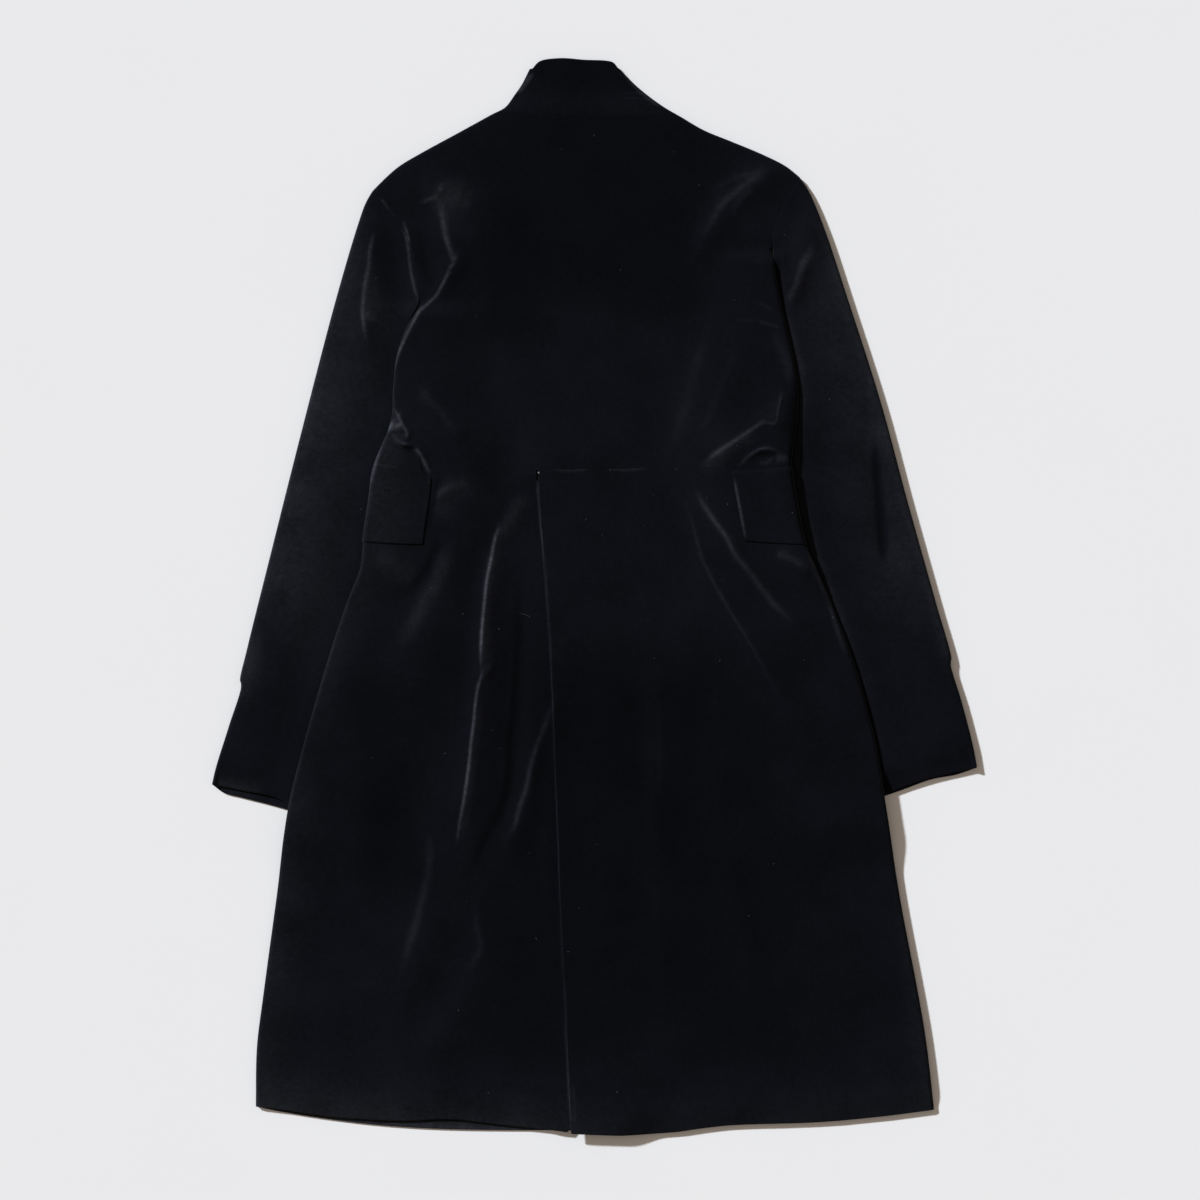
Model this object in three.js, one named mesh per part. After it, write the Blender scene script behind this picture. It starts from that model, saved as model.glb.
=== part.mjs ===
// A fitted velvet coat, laid flat on its front: a stand collar, a bodice with side-back seams, a waist
// seam with a flap at each side, a back skirt whose right panel laps over the left, and long sleeves
// that run under the body and have a short vent at the cuff.
//
// Millimetres. The origin lies under the middle of the coat's outline. +Y runs from the hem to the
// collar and +Z from the surface that the coat lies on to its back. Left and right are as seen from
// above. Each piece is a wall of cloth: a grid of points on its outer face, and the same grid moved
// in by the wall. Upper pieces follow the height of the back, lower ones the height of the front.
import * as THREE from "three";

// Cloth and how it lies
const WALL = 2; // velvet with its lining
const SEAM = 0.3; // between two pieces that are sewn together
const FLAT_STACK = 5.6; // front and back of the body together, where they lie flat
const EDGE_STACK = 7.6; // the same at folded edges, at the hem and in a free sleeve
const EDGE_REACH = 60; // the stack thins over this distance from an edge
const LEAST_STACK = 2 * WALL + 0.6;
const EDGE_CALM = 14; // folds die away over this distance to a folded edge
const ROLL_STEP = 1.1; // the first line of points in from a folded edge

// The body lies on the sleeves and on the ends of the flaps.
const PRESSED_STACK = 5.2; // a sleeve under the body
const CLEAR = 0.5; // between pieces that lie on each other
const DRAPE = 70; // the body comes down beside a sleeve over this distance
const DRAPE_START = 15; // past the sleeve's inner edge
const UNDERARM_TURN = 5; // rows of a sleeve's inner table that lead round the underarm
const SLEEVE_SWELL = { from: 12, to: 50 }; // outside the body's edge, where a sleeve grows thicker
// Where the body is lifted, as pairs of "not yet" and "fully".
const SLEEVE_TOP = { from: 5, to: -15 }; // past the underarm
const SLEEVE_END = { from: -65, to: -12 }; // past the end of the inner cuff
const FLAP_INSIDE = { from: 90, to: 18 }; // past the flap's end on the front
const FLAP_BELOW = { from: -10, to: 38 }; // heights on the coat
const FLAP_ABOVE = { from: 190, to: 142 };

// The vent
const LAP = 42; // how far the left skirt runs under the right one
const LAP_RISE = WALL + 0.8;
const LAP_FALL = 50; // the right skirt comes down over this distance past the lap
const LAP_START = -30; // and the back starts to rise this far before the vent
const LAP_ABOVE = 60; // and rises so high up the bodice
const LAP_FREE = { from: -4, to: -26 }; // left of the vent, where the left skirt comes out of the lap
const UNDERLAP_SHORT = 5; // the hidden lap ends above the hem
const UNDERLAP_STEP = 4; // the hem comes up to it over this distance

// The flaps
const FLAP_OVER = 62; // on the back, from the folded side
const FLAP_UNDER = 45; // round the side, on the front
const FLAP_GAP = 1.0;
const FLAP_DROP = { left: { inner: 69, outer: 73 }, right: { inner: 70, outer: 79 } }; // below the waist

const COLLAR_STACK = FLAT_STACK;

const COLOUR = { back: 0x15161c, front: 0x101116, trim: 0x18191f };
const ROUGHNESS = 0.95;

// Tables ---------------------------------------------------------------------------------------------

const table = (columns, rows) =>
  rows.map((row) => Object.fromEntries(columns.map((name, i) => [name, row[i]])));

// The folded side edges of bodice and skirt, from the underarm to the hem.
const BODY = table(["y", "left", "right"], [
  [346.5, -174.5, 177.5],
  [320, -174.5, 181.5],
  [293.5, -174.5, 186.5],
  [266.5, -189.5, 192.5],
  [236.5, -198.5, 199],
  [206.5, -201.5, 203.5],
  [181.5, -202.5, 203],
  [156.5, -209.5, 199.5],
  [128.5, -220.5, 197],
  [96.5, -225, 201.5],
  [55.5, -231, 210],
  [28.5, -234, 221.5],
  [-5.5, -247.5, 236.5],
  [-56.5, -264.5, 256.5],
  [-103.5, -278.5, 270.5],
  [-148.5, -291, 281.5],
  [-211.5, -306.5, 292],
  [-303.5, -319, 306.5],
  [-403.5, -332.5, 325.5],
  [-453.5, -338.5, 333.5],
  [-520, -339.5, 341],
]);

// The sleeves' folded edges. The inner ones run under the body.
const SLEEVE = {
  left: {
    outer: table(["x", "y"], [
      [-222.5, 406.5],
      [-229.5, 394],
      [-237.5, 371.5],
      [-259.5, 296.5],
      [-298.5, 146.5],
      [-324, 45],
      [-348.5, -53.5],
      [-355.3, -84.5],
      [-353.9, -88.5],
      [-366.5, -130],
      [-379.5, -171.5],
      [-383.5, -188.5],
    ]),
    inner: table(["x", "y"], [
      [-174.5, 293.5],
      [-181, 287.5],
      [-187.5, 279],
      [-190.5, 270],
      [-191, 258],
      [-186, 236],
      [-175, 205],
      [-160, 168],
      [-150, 130],
      [-157.5, 46.5],
      [-186.5, -53.5],
      [-226.5, -153.5],
      [-256, -228],
    ]),
    backCuff: table(["x", "y"], [
      [-383.5, -188.5],
      [-350, -195],
      [-319.5, -201.5],
      [-300, -211],
      [-256, -228],
    ]),
    frontCuff: table(["x", "y"], [
      [-383.5, -188.5],
      [-372, -197],
      [-355, -201.5],
      [-323.5, -209.5],
      [-290, -219],
      [-256, -228],
    ]),
  },
  right: {
    outer: table(["x", "y"], [
      [205.5, 420.5],
      [214.5, 407],
      [229.5, 371.5],
      [254.5, 296.5],
      [286.5, 196.5],
      [313.5, 96.5],
      [341.5, -3.5],
      [357.8, -63],
      [356.8, -67],
      [367.5, -103.5],
      [379.5, -150],
      [383.5, -171.5],
    ]),
    inner: table(["x", "y"], [
      [177.5, 346.5],
      [182, 341],
      [185, 334],
      [186.5, 325],
      [186, 312],
      [182.5, 290],
      [176, 262],
      [166, 228],
      [154, 190],
      [147, 146],
      [163, 46.5],
      [194, -53.5],
      [236, -153.5],
      [256, -212],
    ]),
    backCuff: table(["x", "y"], [
      [383.5, -171.5],
      [366, -175.5],
      [340, -181.5],
      [308, -191.5],
      [256, -212],
    ]),
    frontCuff: table(["x", "y"], [
      [383.5, -171.5],
      [373, -175.5],
      [362, -179],
      [338, -183.5],
      [306, -195],
      [256, -212],
    ]),
  },
};

// Seams and free edges of the body.
const SHOULDER = {
  left: table(["x", "y"], [
    [-222.5, 406.5],
    [-208.5, 420.5],
    [-195.5, 431.5],
    [-175.5, 443.5],
    [-131.5, 467.5],
    [-102.5, 483.5],
  ]),
  right: table(["x", "y"], [
    [205.5, 420.5],
    [191.5, 431.5],
    [167.5, 443.5],
    [137.5, 456],
    [109.5, 467.5],
    [85.5, 481.5],
  ]),
};
const ARMHOLE = {
  left: table(["x", "y"], [
    [-222.5, 406.5],
    [-209.5, 391.5],
    [-196, 374.5],
    [-184.5, 352],
    [-178, 324],
    [-174.5, 293.5],
  ]),
  right: table(["x", "y"], [
    [205.5, 420.5],
    [197.5, 408],
    [189, 395],
    [181.5, 378],
    [178, 362],
    [177.5, 346.5],
  ]),
};
// How far down the armhole the side-back seam starts.
const SEAM_START = { left: 0.34, right: 0.38 };
const SIDE_BACK = {
  left: table(["x", "y"], [
    [-170, 356.5],
    [-147, 328.5],
    [-134.5, 296.5],
    [-127.5, 246.5],
    [-124.5, 186.5],
    [-123.5, 121],
  ]),
  right: table(["x", "y"], [
    [158, 374.5],
    [134, 346.5],
    [121.5, 316.5],
    [116.5, 257.5],
    [98.5, 194.5],
    [77.5, 130],
  ]),
};
const WAIST = table(["x", "y"], [
  [-220.5, 128.5],
  [-190, 124.5],
  [-157.5, 121.5],
  [-123.5, 121],
  [-56.5, 126.5],
  [48.5, 128.5],
  [81.5, 130],
  [114.5, 127],
  [142.5, 126.5],
  [197, 131],
]);
const VENT = table(["x", "y"], [
  [-56.5, 126.5],
  [-56, 108],
  [-51.5, 32.5],
  [-46.5, -37.5],
  [-41.5, -121],
  [-38, -220],
  [-35, -300],
  [-29.5, -403.5],
  [-25.5, -503.5],
  [-23.5, -540],
]);
const BACK_HEM = table(["x", "y"], [
  [-339.5, -511.5],
  [-309.5, -515],
  [-264.5, -521.5],
  [-194.5, -525.5],
  [-144.5, -524],
  [-94.5, -529.5],
  [-34.5, -535.8],
  [-23.5, -537.5],
  [5.5, -539],
  [32.5, -539.5],
  [80.5, -537],
  [105.5, -533.5],
  [138.5, -530],
  [224.5, -527],
  [285.5, -521.5],
  [341, -514.5],
]);
const FRONT_HEM = table(["x", "y"], [
  [-339.5, -511.5],
  [-319.5, -516],
  [-269.5, -524],
  [-219.5, -530],
  [-169.5, -533.5],
  [-119.5, -535],
  [-5, -536],
  [32.5, -538],
  [80.5, -535.5],
  [138.5, -528.5],
  [224.5, -525.5],
  [285.5, -520],
  [341, -514.5],
]);
const NECKLINE = {
  left: table(["x", "y"], [
    [-102.5, 483.5],
    [-88, 441],
    [-58, 392],
    [-6.5, 353.5],
  ]),
  right: table(["x", "y"], [
    [85.5, 481.5],
    [73, 441],
    [44, 392],
    [-3.5, 353.5],
  ]),
};
const COLLAR_FOLD = {
  left: table(["x", "y"], [
    [-102.5, 483.5],
    [-89.5, 490.5],
    [-80, 503],
    [-72.5, 514],
    [-65, 529],
  ]),
  right: table(["x", "y"], [
    [85.5, 481.5],
    [70, 490.5],
    [52, 503.5],
    [37.5, 516],
    [25, 529],
  ]),
};
const COLLAR_TOP = {
  back: table(["x", "y"], [
    [-65, 529],
    [-55, 536.3],
    [-34.5, 539.5],
    [-12, 538],
    [19, 535],
    [25, 529],
  ]),
  left: table(["x", "y"], [
    [-65, 529],
    [-50, 480],
    [-30, 436],
    [-6.5, 405],
  ]),
  right: table(["x", "y"], [
    [25, 529],
    [22, 480],
    [10, 436],
    [-3.5, 405],
  ]),
};

// The largest folds: each follows its points, and falls away to its left and right over these widths.
// They run down the coat, so that left and right are those of the coat.
const BACK_FOLDS = [
  { name: "left blade", height: 5, left: 9, right: 12,
    path: [[-158, 398], [-148, 362], [-137, 345], [-146, 323], [-166, 300]] },
  { name: "left shoulder", height: 3, left: 10, right: 12, path: [[-178, 412], [-150, 410], [-122, 400]] },
  { name: "right shoulder", height: 4.5, left: 13, right: 22,
    path: [[196, 424], [172, 422], [150, 408], [128, 384], [110, 352], [96, 322]] },
  { name: "right waist", height: 4.5, left: 11, right: 14,
    path: [[190, 214], [183, 178], [165, 168], [138, 150], [112, 132]] },
  { name: "left waist", height: 2.2, left: 10, right: 12, path: [[-176, 206], [-152, 178], [-128, 152]] },
  { name: "left sharp", height: 7, left: 9, right: 15,
    path: [[-94, 66], [-102, 31], [-108, -3], [-111, -53],
      [-115, -93], [-121, -143], [-129, -203], [-138, -246]] },
  { name: "left trough", height: -3, left: 12, right: 14,
    path: [[-74, 24], [-78, -43], [-83, -133], [-89, -193], [-101, -243], [-116, -273], [-132, -306]] },
  { name: "left of vent", height: 5, left: 15, right: 13,
    path: [[-44, -86], [-52, -150], [-62, -186], [-75, -232], [-84, -272]] },
  { name: "left low", height: 4, left: 13, right: 18,
    path: [[-152, -255], [-163, -323], [-173, -363], [-183, -393], [-196, -440]] },
  { name: "left hem", height: 3, left: 16, right: 22,
    path: [[-110, -310], [-108, -353], [-116, -383], [-136, -413], [-162, -453], [-186, -482]] },
  { name: "left broad", height: 3, left: 18, right: 26,
    path: [[-118, 112], [-133, 66], [-148, 26], [-163, -14], [-188, -64], [-206, -110]] },
  { name: "left of flap", height: 3, left: 7, right: 8, path: [[-134, 117], [-146, 108], [-158, 92]] },
  { name: "right broad", height: 4.5, left: 12, right: 20,
    path: [[92, 126], [110, 96], [126, 66], [146, 36], [170, 6], [200, -24], [212, -40]] },
  { name: "right long", height: 3.4, left: 9, right: 14,
    path: [[78, 108], [94, 84], [107, 51], [115, 26], [134, -6],
      [156, -44], [172, -70], [202, -124], [230, -176]] },
  { name: "right below flap", height: 3, left: 8, right: 10, path: [[184, 46], [202, 32], [220, 22]] },
  { name: "right centre", height: 1.6, left: 12, right: 16,
    path: [[54, -30], [60, -150], [65, -250], [70, -410]] },
  { name: "right side", height: 1.8, left: 16, right: 22,
    path: [[108, -90], [130, -220], [150, -340], [166, -506]] },
];
const SLEEVE_FOLDS = [
  { name: "left elbow", height: 4, left: 12, right: 16,
    path: [[-222, 356], [-230, 326], [-230, 286], [-227, 256], [-217, 226], [-204, 206]] },
  { name: "right arm", height: 4, left: 11, right: 14,
    path: [[222, 388], [213, 356], [205, 326], [194, 292]] },
  { name: "right groove", height: -1.4, left: 9, right: 12,
    path: [[272, 206], [278, 146], [292, 46], [300, 20]] },
];

// Curves ---------------------------------------------------------------------------------------------

const clamp = THREE.MathUtils.clamp;
const smooth = (from, to, at) => {
  const share = clamp((at - from) / (to - from), 0, 1);
  return share * share * (3 - 2 * share);
};

// A curve through a table's points, from 0 to 1, as [x, y]. Fast where it is read often.
function curve(points) {
  const line = new THREE.CatmullRomCurve3(
    points.map((p) => new THREE.Vector3(p.x, p.y, 0)),
    false,
    "centripetal",
  );
  return (share) => {
    const point = line.getPointAt(clamp(share, 0, 1));
    return [point.x, point.y];
  };
}
const part = (whole, from, to) => (share) => whole(from + (to - from) * share);
// Curves one after another, each over its own number of equal steps.
function chained(...links) {
  const steps = links.reduce((sum, link) => sum + link.steps, 0);
  return (share) => {
    let at = share * steps;
    const link = links.find((one, i) => i === links.length - 1 || at < one.steps || ((at -= one.steps), false));
    return link.whole(at / link.steps);
  };
}
const backwards = (whole) => (share) => whole(1 - share);

// A smooth function through a table's rows, from one column to another.
function reading(rows, from, to) {
  const x = rows.map((row) => row[from]);
  const y = rows.map((row) => row[to]);
  const slope = y.map((_, i) => {
    const a = Math.max(i - 1, 0);
    const b = Math.min(i + 1, y.length - 1);
    return (y[b] - y[a]) / (x[b] - x[a]);
  });
  const low = Math.min(x[0], x.at(-1));
  const high = Math.max(x[0], x.at(-1));
  return (value) => {
    const at = clamp(value, low, high);
    const i = Math.max(0, x.findIndex((_, k) => k < x.length - 1 && (at - x[k]) * (at - x[k + 1]) <= 0));
    const width = x[i + 1] - x[i];
    const t = (at - x[i]) / width;
    return (
      (2 * t ** 3 - 3 * t ** 2 + 1) * y[i] +
      (t ** 3 - 2 * t ** 2 + t) * width * slope[i] +
      (3 * t ** 2 - 2 * t ** 3) * y[i + 1] +
      (t ** 3 - t ** 2) * width * slope[i + 1]
    );
  };
}

const sampled = (whole, steps) => Array.from({ length: steps + 1 }, (_, i) => whole(i / steps));

// The nearest place on a line of points: how far, on which side of it, how far along it, and the
// direction across the line there.
function nearest(line, x, y) {
  let best = { distance: Infinity };
  for (let i = 0; i < line.length - 1; i++) {
    const [ax, ay] = line[i];
    const dx = line[i + 1][0] - ax;
    const dy = line[i + 1][1] - ay;
    const t = clamp(((x - ax) * dx + (y - ay) * dy) / (dx * dx + dy * dy), 0, 1);
    const distance = Math.hypot(x - ax - t * dx, y - ay - t * dy);
    if (distance < best.distance) {
      const side = dx * (y - ay) - dy * (x - ax);
      const length = Math.hypot(dx, dy);
      best = { distance, side, along: (i + t) / (line.length - 1), across: [-dy / length, dx / length] };
    }
  }
  return best;
}

// A patch of the plane between four curves.
const patch = ({ left, right, top, bottom }) => (u, v) =>
  [0, 1].map((axis) => {
    const across = (1 - u) * left(v)[axis] + u * right(v)[axis];
    const down = (1 - v) * top(u)[axis] + v * bottom(u)[axis];
    const corners =
      (1 - v) * ((1 - u) * left(0)[axis] + u * right(0)[axis]) +
      v * ((1 - u) * left(1)[axis] + u * right(1)[axis]);
    return across + down - corners;
  });

const SIDES = ["left", "right"];
const eachSide = (make) => Object.fromEntries(SIDES.map((side) => [side, make(side)]));
const inward = { left: 1, right: -1 };

const waistAt = reading(WAIST, "x", "y");
const hemAt = reading(BACK_HEM, "x", "y");
const frontHemAt = reading(FRONT_HEM, "x", "y");
const ventAt = reading(VENT, "y", "x");
const edgeAt = eachSide((side) => reading(BODY, "y", side));
const innerAt = eachSide((side) => reading(SLEEVE[side].inner.slice(UNDERARM_TURN), "y", "x"));
const underarm = eachSide((side) => ARMHOLE[side].at(-1).y);
const cuffEnd = eachSide((side) => SLEEVE[side].inner.at(-1).y);
const onEdge = (side, { y }) => ({ x: edgeAt[side](y), y });
const hemCorner = { left: onEdge("left", BACK_HEM[0]), right: onEdge("right", BACK_HEM.at(-1)) };
const waistCorner = { left: onEdge("left", WAIST[0]), right: onEdge("right", WAIST.at(-1)) };
const armhole = eachSide((side) => curve(ARMHOLE[side]));
const shoulder = eachSide((side) => curve(SHOULDER[side]));
const neckline = eachSide((side) => curve(NECKLINE[side]));
const sideBack = eachSide((side) => {
  const [x, y] = armhole[side](SEAM_START[side]);
  return curve([{ x, y }, ...SIDE_BACK[side]]);
});
const sideEdge = (side, from, to, spacing = (share) => share) => (share) => {
  const y = from + (to - from) * spacing(share);
  return [edgeAt[side](y), y];
};
// The skirt's rows lie closer together at the waist than at the hem.
const skirtSpacing = (share) => share * (0.6 + 0.4 * share);

// Points on the lines that distances are measured to.
const POINTS_ON = { edge: 160, shoulder: 30, fold: 24 };
const folded = {
  body: SIDES.flatMap((side) => [
    sampled(sideEdge(side, underarm[side], BODY.at(-1).y), POINTS_ON.edge),
    sampled(shoulder[side], POINTS_ON.shoulder),
  ]),
  ...Object.fromEntries(
    SIDES.map((side) => [
      side,
      ["outer", "inner"].map((edge) => sampled(curve(SLEEVE[side][edge]), POINTS_ON.edge)),
    ]),
  ),
};
const nearestEdge = (lines, x, y) =>
  lines.map((line) => nearest(line, x, y)).reduce((a, b) => (b.distance < a.distance ? b : a));
const fromEdge = (lines, x, y) => nearestEdge(lines, x, y).distance;

// Heights --------------------------------------------------------------------------------------------

const withPath = (fold) => ({
  ...fold,
  line: sampled(curve(fold.path.map(([x, y]) => ({ x, y }))), POINTS_ON.fold),
});
const backFolds = BACK_FOLDS.map(withPath);
const sleeveFolds = SLEEVE_FOLDS.map(withPath);
const FOLD_TAPER = 0.25; // share of a fold's length over which it rises and dies away

function foldHeight(folds, x, y) {
  return folds.reduce((sum, fold) => {
    const { distance, side, along } = nearest(fold.line, x, y);
    const width = side < 0 ? fold.left : fold.right;
    const taper = smooth(0, FOLD_TAPER, along) * smooth(0, FOLD_TAPER, 1 - along);
    return sum + fold.height * taper * Math.exp(-((distance / width) ** 2));
  }, 0);
}

// Half of a stack of cloth with a rounded edge, at a distance from that edge.
const rounded = (radius, distance) =>
  distance >= radius ? radius : Math.sqrt(radius ** 2 - (radius - distance) ** 2);

// What lies under the body lifts it: the sleeves, and the ends of the flaps on the front.
function lift(x, y) {
  return SIDES.reduce((highest, side) => {
    const past = inward[side] * (x - innerAt[side](y)) - DRAPE_START;
    const onSleeve =
      (1 - smooth(0, DRAPE, past)) *
      smooth(SLEEVE_TOP.from, SLEEVE_TOP.to, y - underarm[side]) *
      smooth(SLEEVE_END.from, SLEEVE_END.to, y - cuffEnd[side]);
    const inside = inward[side] * (x - edgeAt[side](y));
    const onFlap =
      smooth(FLAP_INSIDE.from, FLAP_INSIDE.to, inside - FLAP_UNDER) *
      smooth(FLAP_BELOW.from, FLAP_BELOW.to, y) *
      smooth(FLAP_ABOVE.from, FLAP_ABOVE.to, y);
    const here = onSleeve * (PRESSED_STACK + CLEAR) + onFlap * (FLAP_GAP + WALL + CLEAR);
    return Math.max(highest, here);
  }, 0);
}

function bodyStack(x, y) {
  const nearEdge = 1 - smooth(0, EDGE_REACH, fromEdge(folded.body, x, y));
  const nearHem = 1 - smooth(0, EDGE_REACH, y - hemAt(x));
  return FLAT_STACK + (EDGE_STACK - FLAT_STACK) * Math.max(nearEdge, nearHem);
}

// The right skirt rises over the left one's lap, and the bodice follows it at the waist.
function lapRise(x, y) {
  const past = x - ventAt(y);
  return LAP_RISE * smooth(LAP_START, 0, past) * (1 - smooth(LAP, LAP + LAP_FALL, past));
}

const body = {
  stack: bodyStack,
  edges: folded.body,
  middle: (x, y) => lift(x, y) + bodyStack(x, y) / 2,
};
const back = (rise) => ({
  ...body,
  up: 1,
  more: (x, y, stack) => {
    const creases = foldHeight(backFolds, x, y) * smooth(0, EDGE_CALM, fromEdge(folded.body, x, y));
    return Math.max(creases + rise(x, y), LEAST_STACK - stack);
  },
});
const bodiceBack = back((x, y) => lapRise(x, y) * smooth(VENT[0].y + LAP_ABOVE, VENT[0].y, y));
const rightSkirtBack = back(lapRise);
const leftSkirtBack = {
  ...body,
  up: 1,
  more: (x, y, stack) => {
    const free = smooth(LAP_FREE.from, LAP_FREE.to, x - ventAt(y));
    const creases = foldHeight(backFolds, x, y) * smooth(0, EDGE_CALM, fromEdge(folded.body, x, y));
    return Math.max(creases, LEAST_STACK - stack) * free + Math.min(0, FLAT_STACK - stack) * (1 - free);
  },
};
const front = { ...body, up: -1, more: () => 0 };

function sleeveStack(side, x, y) {
  const outside = inward[side] * (edgeAt[side](y) - x);
  return PRESSED_STACK + (EDGE_STACK - PRESSED_STACK) * smooth(SLEEVE_SWELL.from, SLEEVE_SWELL.to, outside);
}
const sleeveFace = (side, up) => ({
  stack: (x, y) => sleeveStack(side, x, y),
  edges: folded[side],
  middle: (x, y) => sleeveStack(side, x, y) / 2,
  up,
  more: (x, y) => {
    if (up < 0) return 0;
    const outside = inward[side] * (edgeAt[side](y) - x);
    const shown = smooth(0, EDGE_CALM, outside) * smooth(0, EDGE_CALM, fromEdge(folded[side], x, y));
    return foldHeight(sleeveFolds, x, y) * shown;
  },
});

function heightOf(face, x, y) {
  const stack = face.stack(x, y);
  const distance = fromEdge(face.edges, x, y);
  const half = Math.max(rounded(stack / 2, distance), SEAM / 2);
  return face.middle(x, y) + face.up * (half + face.more(x, y, stack));
}

// The direction that a face looks in at a point. At a folded edge that is straight out, away from
// the neighbours inside it.
function outwardOf(face, point, neighbours) {
  const edge = nearestEdge(face.edges, point.x, point.y);
  if (edge.distance <= SEAM) {
    const across = new THREE.Vector3(...edge.across, 0);
    const inside = neighbours.reduce((sum, one) => sum + minus(one, point).setZ(0).normalize().dot(across), 0);
    return across.multiplyScalar(-Math.sign(inside));
  }
  const step = 0.5;
  const { x, y } = point;
  return new THREE.Vector3(
    (heightOf(face, x - step, y) - heightOf(face, x + step, y)) * face.up,
    (heightOf(face, x, y - step) - heightOf(face, x, y + step)) * face.up,
    2 * step * face.up,
  ).normalize();
}

// Walls ----------------------------------------------------------------------------------------------

const group = new THREE.Group();
const minus = (a, b) => new THREE.Vector3().subVectors(a, b);

// A closed wall from a grid of points on its outer face and the normal at each.
function wall(name, colour, points, normals, thickness = WALL) {
  const rows = points.length;
  const columns = points[0].length;
  const inner = points.map((row, j) => row.map((p, i) => p.clone().addScaledVector(normals[j][i], -thickness)));
  const all = [...points.flat(), ...inner.flat()];
  const at = (j, i, layer) => layer * rows * columns + j * columns + i;
  const faces = [];
  const quad = (a, b, c, d) => {
    const short = minus(all[a], all[c]).length() <= minus(all[b], all[d]).length();
    faces.push(...(short ? [a, b, c, a, c, d] : [a, b, d, b, c, d]));
  };
  for (let j = 0; j < rows - 1; j++) {
    for (let i = 0; i < columns - 1; i++) {
      quad(at(j, i, 0), at(j + 1, i, 0), at(j + 1, i + 1, 0), at(j, i + 1, 0));
      quad(at(j, i, 1), at(j, i + 1, 1), at(j + 1, i + 1, 1), at(j + 1, i, 1));
    }
  }
  for (let i = 0; i < columns - 1; i++) {
    quad(at(0, i, 0), at(0, i + 1, 0), at(0, i + 1, 1), at(0, i, 1));
    quad(at(rows - 1, i + 1, 0), at(rows - 1, i, 0), at(rows - 1, i, 1), at(rows - 1, i + 1, 1));
  }
  for (let j = 0; j < rows - 1; j++) {
    quad(at(j + 1, 0, 0), at(j, 0, 0), at(j, 0, 1), at(j + 1, 0, 1));
    quad(at(j, columns - 1, 0), at(j + 1, columns - 1, 0), at(j + 1, columns - 1, 1), at(j, columns - 1, 1));
  }
  const [j, i] = [rows >> 1, columns >> 1];
  const facing = minus(points[j + 1]?.[i] ?? points[j][i], points[j - 1][i])
    .cross(minus(points[j][i + 1] ?? points[j][i], points[j][i - 1]))
    .dot(normals[j][i]);
  if (facing < 0) faces.reverse();

  const geometry = new THREE.BufferGeometry().setFromPoints(all).setIndex(faces);
  geometry.computeVertexNormals();
  const material = new THREE.MeshStandardMaterial({ color: colour, roughness: ROUGHNESS, metalness: 0 });
  const mesh = new THREE.Mesh(geometry, material);
  mesh.name = name;
  group.add(mesh);
}

// Shares of a length: close together beside a folded edge, and even between.
function shares(length, steps, foldedStart, foldedEnd) {
  const start = foldedStart ? [0, ROLL_STEP, EDGE_STACK / 2] : [0];
  const end = foldedEnd ? [length - EDGE_STACK / 2, length - ROLL_STEP, length] : [length];
  const [from, to] = [start.at(-1), end[0]];
  const even = Array.from({ length: steps - 1 }, (_, i) => from + ((to - from) * (i + 1)) / steps);
  return [...start, ...even, ...end].map((distance) => distance / length);
}

// Moves the ends of a line of a grid across the seam line that they lie on.
function openSeam(grid, line, next, gap) {
  const moved = line.map(([j, i], k) => {
    const [before, after] = [line[Math.max(k - 1, 0)], line[Math.min(k + 1, line.length - 1)]];
    const [ax, ay] = grid[before[0]][before[1]];
    const [bx, by] = grid[after[0]][after[1]];
    const [x, y] = grid[j][i];
    const [nx, ny] = grid[next[k][0]][next[k][1]];
    const length = Math.hypot(bx - ax, by - ay);
    const across = [-(by - ay) / length, (bx - ax) / length];
    const way = Math.sign(across[0] * (nx - x) + across[1] * (ny - y));
    return [x + way * gap * across[0], y + way * gap * across[1]];
  });
  line.forEach(([j, i], k) => {
    grid[j][i] = moved[k];
  });
}

// A piece of cloth over a patch of the plane, on one face of the body or of a sleeve.
function piece(name, colour, { plan, rows, columns, face, seams }) {
  const grid = rows.map((v) => {
    const [ax, ay] = plan(0, v);
    const [bx, by] = plan(1, v);
    return columns(Math.hypot(bx - ax, by - ay)).map((u) => plan(u, v));
  });
  const last = { row: grid.length - 1, column: grid[0].length - 1 };
  const column = (i) => grid.map((_, j) => [j, i]);
  const row = (j) => grid[0].map((_, i) => [j, i]);
  if (seams.left) openSeam(grid, column(0), column(1), seams.left);
  if (seams.right) openSeam(grid, column(last.column), column(last.column - 1), seams.right);
  if (seams.top) openSeam(grid, row(0), row(1), seams.top);
  if (seams.bottom) openSeam(grid, row(last.row), row(last.row - 1), seams.bottom);

  const points = grid.map((line) => line.map(([x, y]) => new THREE.Vector3(x, y, heightOf(face, x, y))));
  const normals = points.map((line, j) =>
    line.map((point, i) =>
      outwardOf(face, point, [line[clamp(i, 1, last.column - 1)], points[clamp(j, 1, last.row - 1)][i]]),
    ),
  );
  wall(name, colour, points, normals);
}

const evenShares = (steps) => () => Array.from({ length: steps + 1 }, (_, i) => i / steps);
const HALF_SEAM = SEAM / 2;

// Lines of points ------------------------------------------------------------------------------------
// Pieces that meet at a seam or a folded edge have their points at the same places along it.

const ROWS = { upperArmhole: 3, lowerArmhole: 5, side: 8, skirt: 18 };
const COLUMNS = { backShoulder: 7, neck: 9, frontShoulder: 3, neckline: 5, sideBack: 6, skirtLeft: 22, skirtRight: 20 };
const BLUNT = 0.06; // the side back's upper corner is this share of the armhole wide

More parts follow.
